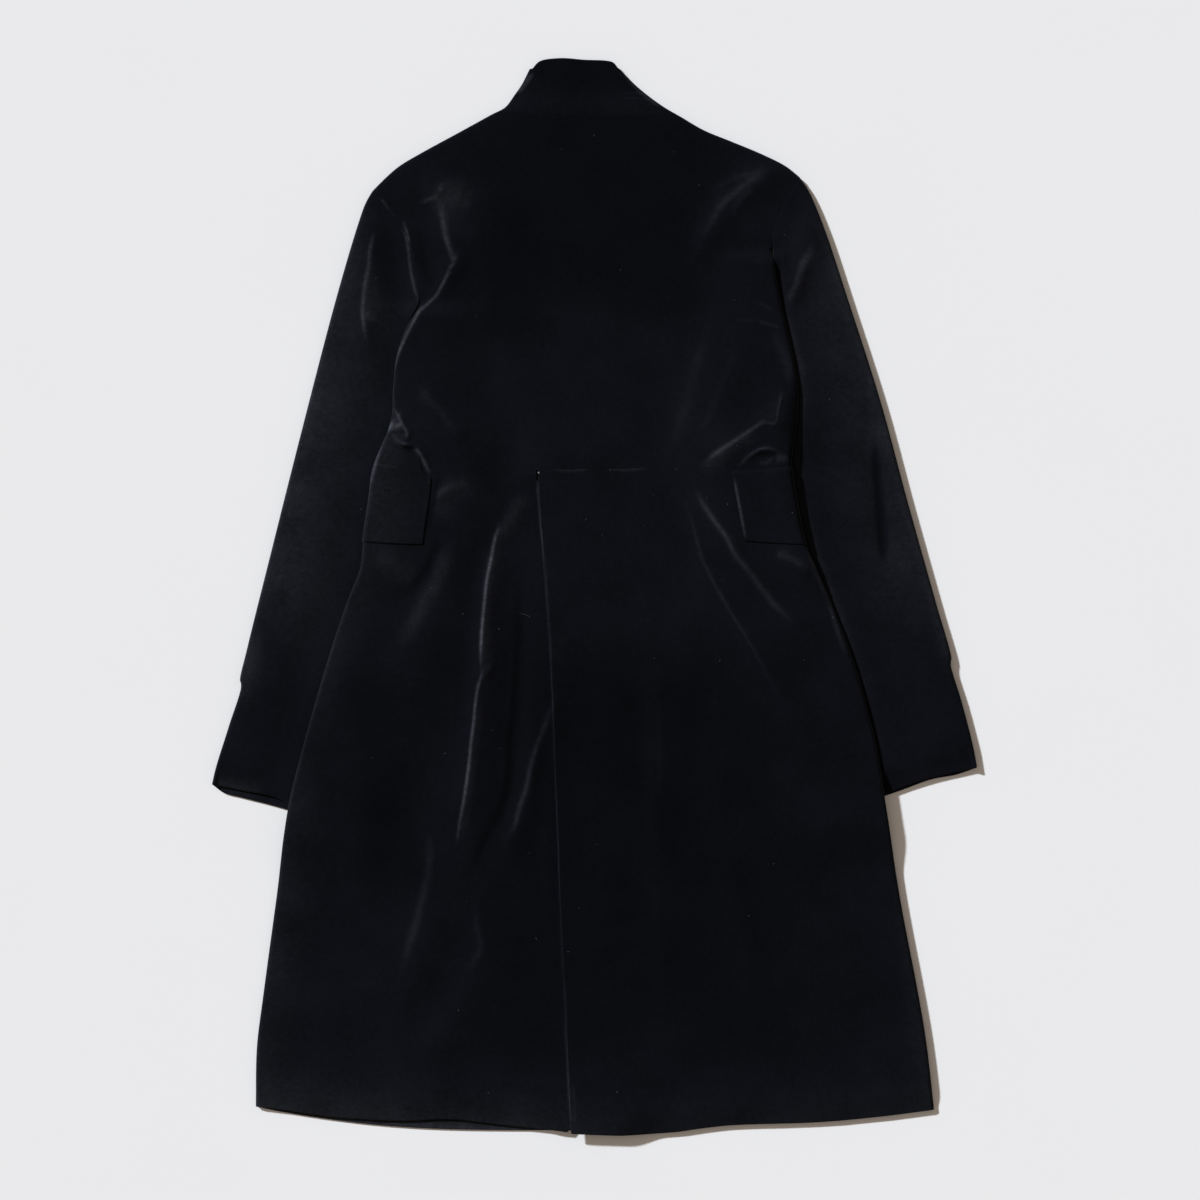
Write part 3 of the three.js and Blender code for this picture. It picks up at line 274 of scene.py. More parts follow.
# Finer folds that the solids leave out, in the same way.
FINE_BACK_FOLDS = [
    ("left blade step", 0.5, 3, 12, [
        (-130, 352), (-138, 343), (-143, 333), (-149, 322), (-155, 312), (-161, 304), (-169, 295),
        (-178, 283), (-184, 270), (-190, 255), (-195, 240),
    ]),
    ("left blade top", 0.5, 3, 9, [(-158, 402), (-152, 384), (-149, 366), (-144, 352), (-138, 342)]),
    ("left shoulder ridge", 0.5, 5, 7, [(-174, 393), (-164, 400), (-154, 410), (-140, 413), (-118, 411)]),
    ("right shoulder ridge", 0.5, 7, 12, [
        (180, 432), (170, 425), (160, 417), (148, 409), (134, 399), (124, 388), (115, 372), (107, 356),
        (98, 338), (92, 322),
    ]),
    ("right shoulder line", 0.5, 4, 5, [(152, 424), (140, 419), (130, 413), (118, 404)]),
    ("right of shoulder", 0.5, 5, 6, [(157, 406), (148, 397), (142, 389), (135, 374)]),
    ("right edge roll", 1.1, 12, 7, [
        (188, 222), (187, 196), (184, 178), (182, 150), (184, 118), (190, 88), (198, 56),
    ]),
    ("right waist ridge", 0.8, 5, 4, [
        (106, 128), (112, 132), (125, 143), (140, 153), (150, 159), (160, 167), (168, 172), (176, 174),
    ]),
    ("right waist arc", 1.0, 3, 3, [(144, 131), (155, 140), (165, 146), (174, 147), (186, 144)]),
    ("right waist crease", 0.9, 2, 5, [(178, 168), (180, 175), (184, 190), (187, 203)]),
    ("left waist hollow", -0.8, 5, 5, [(-203, 166), (-197, 158), (-189, 153), (-184, 147)]),
    ("left waist pucker", 1.6, 3, 4, [(-200, 186), (-195, 177), (-190, 168), (-187, 161), (-190, 154)]),
    ("left waist ring", 1.1, 3, 3, [(-208, 172), (-202, 169), (-196, 170), (-190, 173)]),
    ("left seam pull", 1.0, 3, 6, [(-201, 158), (-187, 150), (-176, 145), (-170, 134), (-164, 124)]),
    ("left crease", 0.7, 4, 6, [(-176, 210), (-165, 195), (-152, 183), (-145, 172), (-130, 157)]),
    ("left of flap crease", 0.5, 3, 5, [(-131, 117), (-146, 109), (-156, 101), (-162, 92)]),
    ("left sharp crest", 1.0, 2.6, 7, [
        (-86, 86), (-93, 68), (-97, 55), (-102, 35), (-106, 15), (-108, 0), (-110, -25), (-112, -45),
        (-112, -60), (-111, -78), (-115, -92), (-117, -105), (-119, -125), (-122, -150), (-124, -170),
        (-128, -198), (-131, -215), (-135, -238), (-138, -258),
    ]),
    ("left sharp bend", 0.8, 3, 4, [(-98, -64), (-106, -74), (-113, -82), (-121, -96)]),
    ("left head", 0.8, 7, 9, [(-68, 106), (-76, 92), (-85, 76), (-93, 62), (-98, 48)]),
    ("left of vent crest", 0.6, 5, 8, [
        (-38, -92), (-42, -106), (-46, -118), (-50, -135), (-56, -150), (-62, -170), (-66, -190), (-71, -205),
        (-77, -222), (-85, -240), (-97, -256),
    ]),
    ("left low crest", 0.6, 5, 8, [
        (-162, -232), (-163, -262), (-166, -285), (-171, -305), (-176, -325), (-183, -348), (-188, -365),
        (-196, -388),
    ]),
    ("left hem crest", 0.8, 5, 7, [(-118, -296), (-117, -330), (-113, -350), (-117, -362), (-130, -378)]),
    ("left sag", 0.6, 6, 8, [(-53, -226), (-50, -260), (-49, -285), (-46, -310)]),
    ("left broad crest", 0.6, 7, 9, [
        (-146, 52), (-155, 20), (-163, 5), (-172, -10), (-183, -33), (-201, -60),
    ]),
    ("right broad crest", 0.7, 4, 8, [
        (96, 118), (104, 103), (111, 90), (121, 75), (132, 60), (141, 42), (151, 30), (159, 20), (166, 10),
        (173, 2), (179, -7), (189, -16), (198, -25), (212, -42),
    ]),
    ("right long crest", 0.5, 2.5, 6, [
        (86, 104), (92, 92), (99, 74), (103, 58), (106, 47), (109, 36), (115, 25), (120, 14), (127, 2),
        (134, -10), (141, -22), (150, -36), (161, -55), (169, -70), (181, -92), (193, -112), (206, -136),
    ]),
    ("right flap crease", 0.9, 4, 5, [(180, 45), (195, 38), (205, 33), (220, 23)]),
    ("left underarm", 0.7, 2.5, 3, [(-191, 380), (-186, 362), (-184, 345), (-182, 322), (-177, 300)]),
]
FINE_SLEEVE_FOLDS = [
    ("left elbow crest", 0.9, 3, 7, [
        (-219, 372), (-221, 358), (-224, 345), (-225, 330), (-228, 315), (-230, 300), (-231, 285),
        (-230, 272), (-228, 258), (-224, 246),
    ]),
    ("left elbow short", 0.6, 3, 4, [(-228, 284), (-222, 278), (-215, 276)]),
    ("right arm crest", 0.8, 4, 8, [(219, 352), (211, 336), (206, 322), (203, 312), (197, 300), (192, 288)]),
    ("right groove line", -1.5, 4, 5, [(281, 160), (283, 130), (285, 100), (287, 75), (289, 50), (290, 26)]),
    ("left forearm", 0.8, 9, 12, [(-330, -20), (-340, -60), (-345, -85), (-350, -115)]),
    ("right forearm", 0.6, 8, 10, [(318, 20), (326, -20), (332, -60), (340, -100)]),
]
COLLAR_FOLDS = [
    ("seam roll", 0.8, 9, 9, [(-96, 491), (-60, 493), (0, 492), (50, 493), (84, 492)]),
    ("first wrinkle", 0.35, 1.3, 1.3, [(24, 503), (36, 503.5), (50, 502.5), (64, 500)]),
    ("second wrinkle", 0.35, 1.2, 1.2, [(28, 498), (40, 498.5), (54, 497), (68, 495)]),
    ("third wrinkle", 0.3, 1.2, 1.2, [(34, 493.5), (48, 493), (62, 491), (72, 489)]),
    ("left dent", -0.5, 4, 4, [(-86, 505), (-76, 499), (-68, 490), (-64, 480)]),
]

# Painted light and shade in the velvet's colour, with some of the pile's own lean: rows over 0 are painted
# highlights along the lit sides of folds, seams and edges, rows under 0 painted shade beside folds, edges and
# flaps. Each row follows its points and fades to its left and right over these widths, in millimetres.
BODY_NAP_AND_PAINTED_LIGHT = [
    ("upper back", -0.52, 140, 130, [(0, 560), (10, 470), (20, 400), (30, 330), (20, 250)]),
    ("left of centre", -0.35, 40, 36, [(-90, 420), (-86, 360), (-84, 300), (-80, 230)]),
    ("skirt left", -0.46, 90, 80, [(-10, 0), (-26, -110), (-40, -240), (-46, -380), (-46, -530)]),
    ("skirt right", -0.46, 80, 150, [(70, 0), (86, -110), (100, -240), (112, -380), (112, -530)]),
    ("left skirt", -0.4, 26, 30, [(-225, -40), (-224, -110), (-220, -180), (-214, -260), (-206, -340)]),
    ("left side", 0.3, 22, 26, [(-205, 260), (-212, 180), (-228, 90), (-250, 0), (-282, -100), (-300, -190)]),
    ("left skirt side", 0.35, 30, 34, [
        (-300, -120), (-318, -200), (-330, -300), (-342, -400), (-348, -500), (-350, -600),
    ]),
    ("left hem", 0.62, 30, 36, [(-440, -500), (-300, -530), (-180, -545), (-60, -556), (60, -560)]),
    ("whole hem", 0.08, 40, 60, [(-380, -530), (-200, -540), (0, -552), (200, -545), (420, -520)]),
    ("right hem", 0.16, 30, 34, [(40, -556), (160, -548), (300, -532), (440, -512)]),
    ("right skirt side", 0.3, 18, 22, [(306, -240), (318, -320), (330, -420), (342, -500), (350, -600)]),
    ("right waist side", -0.08, 40, 30, [(150, 300), (160, 240), (165, 180), (160, 120)]),
    ("left blade step", 2.4, 1.4, 1.5, [
        (-132, 352), (-136.5, 345), (-141, 335), (-147, 323), (-153, 311), (-158, 302), (-163, 297),
        (-170, 290), (-175, 285), (-180, 276), (-186, 265), (-192, 252), (-197, 240), (-202, 222),
        (-202, 200), (-198, 182),
    ]),
    ("left blade streak", 0.9, 2.4, 3.6, [
        (-157, 400), (-154, 388), (-151, 372), (-149, 360), (-145.5, 348), (-142, 338), (-140, 330),
    ]),
    ("left blade core", 0.9, 1.2, 1.2, [(-153, 384), (-151, 372), (-149.5, 363), (-147, 353), (-144, 344)]),
    ("left blade glow", 0.3, 20, 22, [(-150, 425), (-142, 400), (-136, 376), (-134, 350)]),
    ("left shoulder line", 1.2, 1.5, 1.7, [
        (-178, 392), (-172.5, 395), (-166, 397.5), (-160, 399.5), (-156.5, 404), (-153, 411), (-150, 417),
    ]),
    ("left shoulder glow", 0.4, 13, 15, [(-168, 388), (-152, 398), (-134, 400), (-116, 396)]),
    ("left armhole dash", 0.9, 1.3, 1.3, [(-215, 400), (-212, 396), (-207, 388), (-202, 381), (-199, 377)]),
    ("left armhole line", 1.5, 1.2, 1.4, [
        (-193, 379), (-191, 373), (-187, 362), (-185, 345), (-184, 332), (-181, 315), (-178, 300),
        (-175, 290),
    ]),
    ("left armhole shade", -0.4, 6, 6, [(-178, 378), (-174, 350), (-170, 325), (-160, 312)]),
    ("left shade below step", -0.2, 7, 5, [(-122, 352), (-128, 336), (-136, 318), (-146, 304), (-160, 288)]),
    ("right shoulder", 0.42, 9, 8, [
        (188, 434), (178, 430), (172, 427), (165, 422), (158, 418), (150, 412), (145, 407), (135, 400),
        (127, 392), (122, 385), (118, 376), (113, 368), (108, 362), (105, 355), (101, 343), (95, 333),
        (90, 322),
    ]),
    ("right shoulder core", 0.32, 3, 3, [
        (170, 426), (158, 418), (145, 407), (130, 395), (119, 378), (108, 360),
    ]),
    ("right shoulder upper", 0.35, 3, 3, [(156, 425), (150, 423), (140, 419), (130, 413), (114, 402)]),
    ("right shoulder lower", 0.3, 4, 4, [(160, 409), (155, 405), (148, 398), (142, 390), (134, 370)]),
    ("right edge shade above", -0.3, 4, 5, [
        (174, 370), (176, 362), (179, 345), (182, 335), (184, 320), (186, 300), (189, 280), (193, 262),
        (199, 244), (202, 220),
    ]),
    ("right edge shade", -0.85, 4.5, 8, [
        (206, 245), (202.5, 225), (200.5, 205), (199, 190), (197.5, 172), (196.5, 150), (197, 128),
        (200, 108), (204, 88), (208, 66), (213, 48), (222, 30),
    ]),
    ("right edge shade below", -0.35, 4, 5, [
        (222, 30), (232, 10), (243, -18), (254, -50), (264, -80), (274, -110), (281, -140), (289, -190),
    ]),
    ("right edge streak", 0.75, 2.4, 3, [
        (208, 56), (212, 48), (217, 38), (222, 25), (228, 10), (234, -2), (238, -18), (244, -38), (250, -55),
        (260, -84),
    ]),
    ("left flap edge", 1.5, 1.6, 1.6, [
        (-190, 190), (-196, 180), (-205, 170), (-212, 160), (-215, 145), (-219, 130), (-225, 110), (-229, 90),
        (-234, 60), (-240, 30),
    ]),
    ("left pucker", 1.9, 1.6, 1.6, [(-202, 190), (-196, 180), (-191, 170), (-187, 163), (-189, 156)]),
    ("left pucker spot", 2.6, 3.2, 3.2, [
        (-212, 167), (-207, 168), (-202, 169.5), (-197, 170.5), (-190, 171.5),
    ]),
    ("left pucker ring", 1.1, 1.8, 1.8, [(-205, 163), (-201, 160), (-197, 155), (-190, 152), (-184, 152)]),
    ("left hollow", 0.25, 4, 4, [(-204, 161), (-199, 159), (-194, 158), (-188, 159)]),
    ("left hollow below", -0.8, 2.6, 2.6, [(-191, 151), (-188, 149), (-185, 148), (-181, 147)]),
    ("left seam pull", -0.8, 1.5, 1.5, [
        (-206, 164), (-202, 160), (-196, 154), (-190, 150), (-183, 149), (-176, 148),
    ]),
    ("left seam pull core", 1.8, 1.6, 1.6, [(-181, 149), (-177, 146), (-172, 138), (-168, 130), (-164, 121)]),
    ("first side wrinkle", 0.35, 1.8, 1.8, [(160, 293.5), (166, 292), (171, 290), (180, 284)]),
    ("second side wrinkle", 0.4, 1.8, 1.8, [(160, 276), (170, 273.5), (178, 271), (190, 267)]),
    ("third side wrinkle", 0.28, 2.2, 2.2, [(138, 277), (146, 276.5), (154, 276), (162, 275)]),
    ("right side patch", 0.3, 5, 6, [(176, 270), (182, 256), (189, 238), (195, 222), (199, 206)]),
    ("right back streak", 0.15, 6, 7, [(122, 306), (114, 270), (100, 226), (86, 176), (76, 140)]),
    ("right back wisp", 0.14, 4, 5, [(146, 262), (132, 226), (118, 190), (104, 158)]),
    ("left diagonal", 0.22, 4, 5, [
        (-178, 212), (-172, 205), (-165, 195), (-152, 183), (-145, 172), (-128, 155),
    ]),
    ("left wedge", 0.4, 3, 4, [(-128, 117), (-137, 112), (-147, 108), (-155, 102), (-164, 91)]),
    ("left wedge glow", 0.18, 12, 10, [(-118, 118), (-138, 106), (-150, 92), (-158, 70)]),
    ("right waist line", 1.3, 1.7, 1.7, [
        (110, 134), (117, 140), (127, 147), (140, 155.5), (152, 163.5), (166, 173), (174, 177),
    ]),
    ("right waist glow", 0.45, 8, 5, [
        (104, 124), (112, 131), (125, 142), (140, 152), (152, 159), (170, 168),
    ]),
    ("right waist lift", 0.9, 1.1, 1.1, [
        (166, 173), (176, 173), (180, 173), (184, 190), (186, 200), (187, 208),
    ]),
    ("right waist arc", 1.4, 1.2, 1.2, [
        (143, 129), (148, 134), (155, 141), (165, 147), (172, 148), (188, 143),
    ]),
    ("right pocket", -0.75, 3, 3, [(160, 141), (165, 142), (172, 142.5), (178, 142), (183, 141)]),
    ("right under pocket", 0.5, 1.8, 1.8, [(163, 132), (167, 133), (172, 134), (178, 139), (184, 141)]),
    ("right patch", 0.7, 4, 4, [(180, 138), (184, 138), (190, 138), (195, 138)]),
    ("waist seam left", 0.8, 0.8, 0.8, [(-44, 126.4), (-34, 126.3), (-25, 126), (-14, 126.6), (-2, 127)]),
    ("waist seam right", 0.7, 0.8, 0.8, [(10, 127.4), (20, 127.2), (30, 126.8), (40, 127.4), (54, 129)]),
    ("vent head", 1.2, 0.9, 1.1, [
        (-59, 134), (-58.5, 122), (-57.6, 114), (-56.8, 104), (-56, 92), (-55, 80), (-54, 68), (-52, 48),
        (-50, 24),
    ]),
    ("vent line", 0.75, 0.9, 1.1, [
        (-56, 100), (-52.6, 60), (-50.6, 40), (-48.6, 20), (-47.6, 0), (-45.6, -25), (-44, -50), (-43, -80),
        (-42, -110), (-40.6, -160), (-37.6, -220), (-36, -260), (-35.4, -300), (-34, -340), (-32.6, -370),
        (-29.6, -410), (-28.6, -440), (-27, -470), (-25, -505), (-23, -560),
    ]),
    ("vent line low", 0.7, 1.1, 1.3, [
        (-30.5, -415), (-29, -440), (-27.5, -470), (-25.5, -505), (-23.2, -540),
    ]),
    ("vent second line", 0.3, 1.4, 1.6, [(-22, -484), (-21, -500), (-20, -515), (-18.5, -536)]),
    ("left sharp", 3.0, 1.35, 1.35, [
        (-94, 74), (-97, 66), (-100, 57), (-104, 35), (-108, 15), (-109.5, 0), (-112, -25), (-113.5, -45),
        (-114, -60), (-113.5, -78),
    ]),
    ("left sharp low", 2.5, 1.35, 1.35, [
        (-112, -70), (-113, -78), (-117, -92), (-119, -105), (-121, -125), (-124, -150), (-126, -170),
        (-130, -198), (-133, -215), (-137, -238), (-138, -252),
    ]),
    ("left sharp glow", 0.42, 4, 9, [
        (-96, 66), (-104, 36), (-108, 0), (-111, -40), (-110, -80), (-116, -130),
    ]),
    ("left sharp glow low", 0.4, 4, 8, [(-112, -90), (-118, -130), (-123, -170), (-130, -220), (-138, -262)]),
    ("left head", 0.5, 6, 7, [(-68, 106), (-75, 94), (-82, 80), (-90, 67), (-98, 50)]),
    ("left of vent", 1.0, 3.0, 3.2, [
        (-36, -88), (-42, -105), (-46, -118), (-52, -135), (-58, -150), (-64, -170), (-68, -190), (-73, -205),
        (-77, -218), (-80, -230), (-87, -240), (-98, -254),
    ]),
    ("left low", 0.4, 4.5, 4.5, [
        (-163, -225), (-165, -245), (-165, -262), (-168, -285), (-173, -305), (-178, -325), (-185, -348),
        (-190, -365), (-198, -390),
    ]),
    ("left low hem", 0.45, 4, 4, [(-118, -296), (-118, -330), (-114, -350), (-118, -362), (-131, -378)]),
    ("left sag", 0.22, 5, 5, [(-53, -226), (-52, -240), (-50, -280), (-47, -312)]),
    ("left trough", -0.5, 4.5, 5, [
        (-72, 35), (-74, 15), (-76, 0), (-77, -40), (-79, -70), (-81, -100), (-83, -125), (-86, -150),
        (-87, -180), (-94, -210), (-105, -232), (-114, -250), (-120, -268), (-127, -280), (-134, -296),
    ]),
    ("left broad", 0.42, 8, 8, [
        (-144, 62), (-150, 40), (-155, 20), (-163, 5), (-172, -10), (-183, -33), (-202, -58),
    ]),
    ("left broad shade", -0.55, 4, 4, [
        (-154, 60), (-158, 50), (-165, 35), (-172, 22), (-180, 12), (-188, 0),
    ]),
    ("left flap shade", -0.6, 2.6, 2.6, [
        (-154, 124), (-156, 118), (-159, 108), (-160, 100), (-163, 88), (-166, 70), (-168, 50),
    ]),
    ("left below flap", 0.35, 12, 12, [(-222, 44), (-210, 38), (-200, 30), (-190, 22), (-180, 10)]),
    ("right broad", 0.6, 3, 3, [
        (98, 112), (103, 103), (110, 90), (120, 75), (131, 60), (140, 42), (150, 30), (158, 20), (165, 10),
        (172, 2), (178, -7), (188, -16), (197, -25), (210, -38),
    ]),
    ("right broad core", 0.7, 1.7, 1.7, [(102, 104), (110, 90), (120, 75), (131, 60), (140, 42), (150, 30)]),
    ("right long", 0.4, 1.9, 1.9, [
        (88, 99), (91, 92), (98, 74), (102, 58), (105, 47), (108, 36), (114, 25), (119, 14), (126, 2),
        (133, -10), (140, -22), (149, -36), (160, -55), (168, -70), (180, -92), (192, -112), (199, -124),
    ]),
    ("right below flap", 0.4, 3.4, 3.4, [(180, 44), (185, 42), (195, 38), (205, 33), (219, 24)]),
    ("right shade", -0.1, 12, 12, [(100, -60), (98, -90), (97, -130), (98, -190)]),
    ("right second shade", -0.1, 14, 14, [(150, -95), (158, -120), (164, -150), (170, -190)]),
    ("right pale streak", 0.18, 12, 12, [(60, -60), (58, -90), (60, -140), (62, -200)]),
    ("first faint streak", 0.18, 2.5, 2.5, [(62, -100), (64.5, -116), (65, -150), (64.5, -190), (63, -206)]),
    ("second faint streak", 0.15, 3, 3, [(60, -290), (60.5, -303), (61, -330)]),
    ("third faint streak", 0.15, 3, 3, [(120, -85), (120.5, -100), (121, -122)]),
    ("fourth faint streak", 0.15, 3, 3, [(146, -214), (146.5, -228), (147, -246)]),
]
# The same for the sleeves: the strip beside the right of the body is painted paler where the body's shadow
# falls on it.
SLEEVE_NAP_AND_PAINTED_LIGHT = [
    ("left armhole line", 1.5, 1.4, 1.5, [
        (-197, 381), (-192.5, 373), (-189, 362), (-186.5, 347), (-185, 332), (-182, 316), (-178.5, 302),
        (-175.5, 291),
    ]),
    ("beside the right of the body", 0.35, 8, 4, [
        (178, 352), (180, 335), (184, 312), (190, 285), (199, 255), (206, 230), (208, 205), (206, 180),
        (204, 155), (203, 130), (206, 105), (213, 75), (222, 45), (232, 18), (246, -20), (262, -64),
        (278, -110), (290, -160),
    ]),
    ("left upper arm", 0.28, 46, 50, [(-234, 400), (-244, 300), (-262, 160), (-290, 20), (-318, -100)]),
    ("left outer edge", 0.5, 9, 12, [
        (-226, 420), (-240, 372), (-262, 296), (-300, 146), (-327, 40), (-351, -54), (-362, -104),
        (-376, -160),
    ]),
    ("left sleeve glow", 0.32, 22, 26, [(-268, 260), (-288, 170), (-302, 90), (-318, 20), (-330, -50)]),
    ("left forearm", 0.25, 10, 11, [(-334, -20), (-341, -60), (-345, -85), (-352, -120)]),
    ("left elbow", 1.3, 1.7, 2.1, [
        (-220, 366), (-222, 360), (-225, 345), (-226, 330), (-229, 315), (-231, 300), (-232, 285),
        (-231, 272), (-229, 260), (-226, 248),
    ]),
    ("left elbow glow", 0.25, 4, 9, [(-220, 350), (-225, 320), (-228, 290), (-226, 262)]),
    ("left elbow short", 0.5, 2.5, 2.5, [(-230, 285), (-226, 280), (-218, 277), (-212, 276)]),
    ("left top", -0.3, 14, 14, [(-214, 380), (-210, 350), (-206, 320), (-200, 290)]),
    ("right upper arm", 0.31, 40, 36, [(226, 400), (244, 300), (268, 200), (292, 100), (312, 0), (322, -60)]),
    ("right outer edge", 0.5, 9, 7, [
        (214, 408), (230, 372), (255, 296), (287, 196), (314, 96), (342, -4), (357, -62), (369, -104),
    ]),
    ("right arm", 0.85, 3.5, 3.5, [
        (220, 354), (216, 345), (210, 335), (205, 322), (202, 312), (196, 300), (192, 289),
    ]),
    ("right groove", -0.7, 4, 4.5, [
        (280, 165), (281.5, 140), (284, 115), (286.5, 90), (288, 70), (289, 48), (290, 30),
    ]),
    ("left cuff", 0.5, 8, 8, [(-392, -180), (-372, -188), (-350, -194), (-330, -198)]),
]
COLLAR_NAP_AND_PAINTED_LIGHT = [
    ("collar", -0.5, 34, 34, [(-140, 528), (-40, 530), (20, 528), (110, 520)]),
    ("band", 0.1, 9, 9, [(-130, 493), (-60, 494), (0, 494), (60, 495), (130, 494)]),
    ("left end", 1.6, 2.2, 3.0, [(-78, 503), (-72, 510), (-66, 518), (-60, 527)]),
    ("left end glow", 0.2, 9, 12, [(-90, 492), (-80, 500), (-68, 512), (-58, 528)]),
    ("right end", 0.9, 1.7, 1.7, [(20, 532), (32, 519), (45, 506), (57, 496), (70, 488)]),
    ("first wrinkle", 0.3, 1.2, 1.2, [(24, 503.5), (36, 504), (50, 503), (64, 500.5)]),
    ("second wrinkle", 0.3, 1.2, 1.2, [(28, 498.5), (40, 499), (54, 497.5), (68, 495.5)]),
]
FLAP_NAP_AND_PAINTED_LIGHT = [
    ("left flap top", 0.5, 1.2, 1.2, [(-224, 132), (-216, 131.5), (-206, 130), (-194, 128.5)]),
    ("left flap", 0.16, 26, 26, [(-224, 170), (-212, 120), (-204, 70), (-198, 10)]),
    ("right flap edge", 2.2, 1.1, 1.1, [
        (139.3, 121), (141, 110), (143.8, 95), (146.8, 79), (149.2, 66), (150.8, 57),
    ]),
]

# Painted light on the hem and the cuffs of the lower layer, where they show past those of the upper one and
# lie in its shadow.
LINING_PAINTED_LIGHT = [
    ("hem", 0.8, 6, 6, [
        (-370, -508), (-319, -515), (-269, -524), (-219, -530), (-169, -533), (-119, -535), (-5, -536),
        (60, -538), (140, -530), (240, -525), (370, -508),
    ]),
    ("left cuff", 0.2, 6, 6, [
        (-394, -193), (-372, -197), (-350, -203), (-323, -210), (-290, -219), (-240, -232),
    ]),
    ("right cuff", 0.2, 6, 6, [(394, -172), (372, -176), (350, -182), (320, -191), (290, -202), (240, -217)]),
]

# Details of the cloth that the solids leave out ------------------------------------------------------

NAP_AND_PAINTED_LIGHT = "nap_and_painted_light"  # the attribute that holds the painted light and shade, with some of the pile's own lean
TURN_RADIUS = 1.2  # of a turned and pressed edge
TURN_LEAST = 0.06  # the share of the cloth's thickness that is left at that edge
THINNEST = 0.6  # what a seam leaves of the cloth's thickness
JOIN = 0.02  # half the space between two pieces that are sewn together
SLEEVE_JOIN = 0.05  # the sleeve's side of the armhole seam
SEAM_DIP = (0.12, 2.6)  # how deep a seam draws the cloth in, and over what distance
PRESSED_DIP = (0.06, 4.0)
WAIST_RISE = (-18.0, -1.0)  # past the waist, where the left skirt comes up to the bodice
VENT_RISE = (0.0, -2.5)  # beside the vent, where it does so
ARMHOLE_BLEND = 24.0  # past the armhole seam, where the sleeve comes down from the body's height
ARMHOLE_OUTSIDE = (-1.5, 2.0)  # outside the body's edge, where it starts at that height
ARMHOLE_ABOVE = (0.0, 10.0)  # past the underarm, where it does so too
ARMHOLE_CALM = 2.0  # but not so near its folded edge
BESIDE = {"left": 0.0, "right": 3.2}  # how much higher a sleeve lies against the body's folded side
BESIDE_RISE = (-3.0, 2.5)  # outside the body's edge, where it rises
BESIDE_FALL = (10.0, 42.0)  # and where it comes down again
BESIDE_TOP = (20.0, -20.0)  # past the underarm
PRESSED_HEM = 26.0  # hems and cuffs lie flatter over this distance
CUFF_CALM = 6.0  # but a cuff not so near a folded edge
FLAP_WALL = 1.0
FLAP_REST = 0.12  # between a flap and the cloth that it lies on
FLAP_TUCK = (1.4, 6.0)  # how deep the waist seam draws its top in, and over what distance
FLAP_LIFT = 0.15  # how far a flap's lower edge stands off
FLAP_LOWER = (0.55, 1.0)  # the shares of its length between which it comes up
# How far the left flap's top is pulled up over the waist, by the distance from the folded side.
FLAP_PULL = table("distance rise", [
    [-45, 31], [0, 33], [14, 32], [22, 30], [34, 25], [42, 21.5], [47, 15], [52, 6], [57, 1], [62, 0],
])
UNEVEN = 0.2  # height of what is left when the cloth is smoothed flat by hand
UNEVEN_WAVES = ((47, 0.4, 0.0), (61, 1.7, 1.3), (83, 2.6, 2.1), (34, 1.1, 4.0))  # length, turn, shift
UNEVEN_BEND = (9.0, 61.0)  # how far their crests wander, and over what length

# About how large the pieces are, which sets how many points they get.
BODICE_WIDTH = 300.0
SIDE_BACK_WIDTH = 80.0
SIDE_BACK_STRETCH = 1.3  # its rows lie this much further apart than its columns
ARMHOLE_LENGTH = 90.0
SKIRT_LENGTH = 655.0
SKIRT_WIDTH = 310.0
FRONT_WIDTH = 230.0
FRONT_LENGTH = 1000.0
SLEEVE_WIDTH = 130.0
SLEEVE_LENGTH = 600.0
COLLAR_HEIGHT = 46.0
COLLAR_WIDTH = 150.0
COLLAR_END = 150.0
COLLAR_ROLL = 12  # points round a folded end
FLAP_ROLL = 14
POINTS_ON = {"edge": 200, "shoulder": 30, "sleeve": 160, "armhole": 60, "cuff": 30}
BATCH = 8000  # places that are measured at a time

# The stage, in metres.
FLOOR_REACH = 40.0
CAMERA_X = 0.0055
CAMERA_Y = -0.0035
KEY_TINT = (0.885, 0.945, 1.0)
AMBIENT_TINT = (1.0, 0.84, 0.69)


# Curves ---------------------------------------------------------------------------------------------


def centripetal(points, steps=24):
    """Points close together along a smooth curve through the given ones."""
    p = np.vstack([2 * points[0] - points[1], points, 2 * points[-1] - points[-2]])
    gaps = np.linalg.norm(np.diff(p, axis=0), axis=1) ** 0.5
    t = np.linspace(0, 1, steps, endpoint=False)[:, None]
    made = []
    for i in range(1, len(p) - 2):
        a, b, c, d = p[i - 1 : i + 3]
        before, here, after = gaps[i - 1 : i + 2]
        start = ((b - a) / before - (c - a) / (before + here) + (c - b) / here) * here
        end = ((c - b) / here - (d - b) / (here + after) + (d - c) / after) * here
        cubic = 2 * b - 2 * c + start + end
        square = -3 * b + 3 * c - 2 * start - end
        made.append(b + start * t + square * t**2 + cubic * t**3)
    return np.vstack([*made, points[-1:]])


def along(line):
    """The share of a line's length at each of its points."""
    lengths = np.concatenate([[0], np.cumsum(np.linalg.norm(np.diff(line, axis=0), axis=1))])
    return lengths / lengths[-1]


def curve(rows):
    """A curve through a table's points, from 0 to 1."""
    line = centripetal(np.stack([rows["x"], rows["y"]], axis=-1))
    share_at = along(line)
    return lambda share: np.stack([np.interp(share, share_at, line[:, k]) for k in (0, 1)], axis=-1)


def straight(start, end):
    start, end = np.array(start, float), np.array(end, float)
    return lambda share: start + (end - start) * np.asarray(share)[..., None]


def part(whole, start, end):
    return lambda share: whole(start + (end - start) * np.asarray(share))


def backwards(whole):
    return lambda share: whole(1 - np.asarray(share))


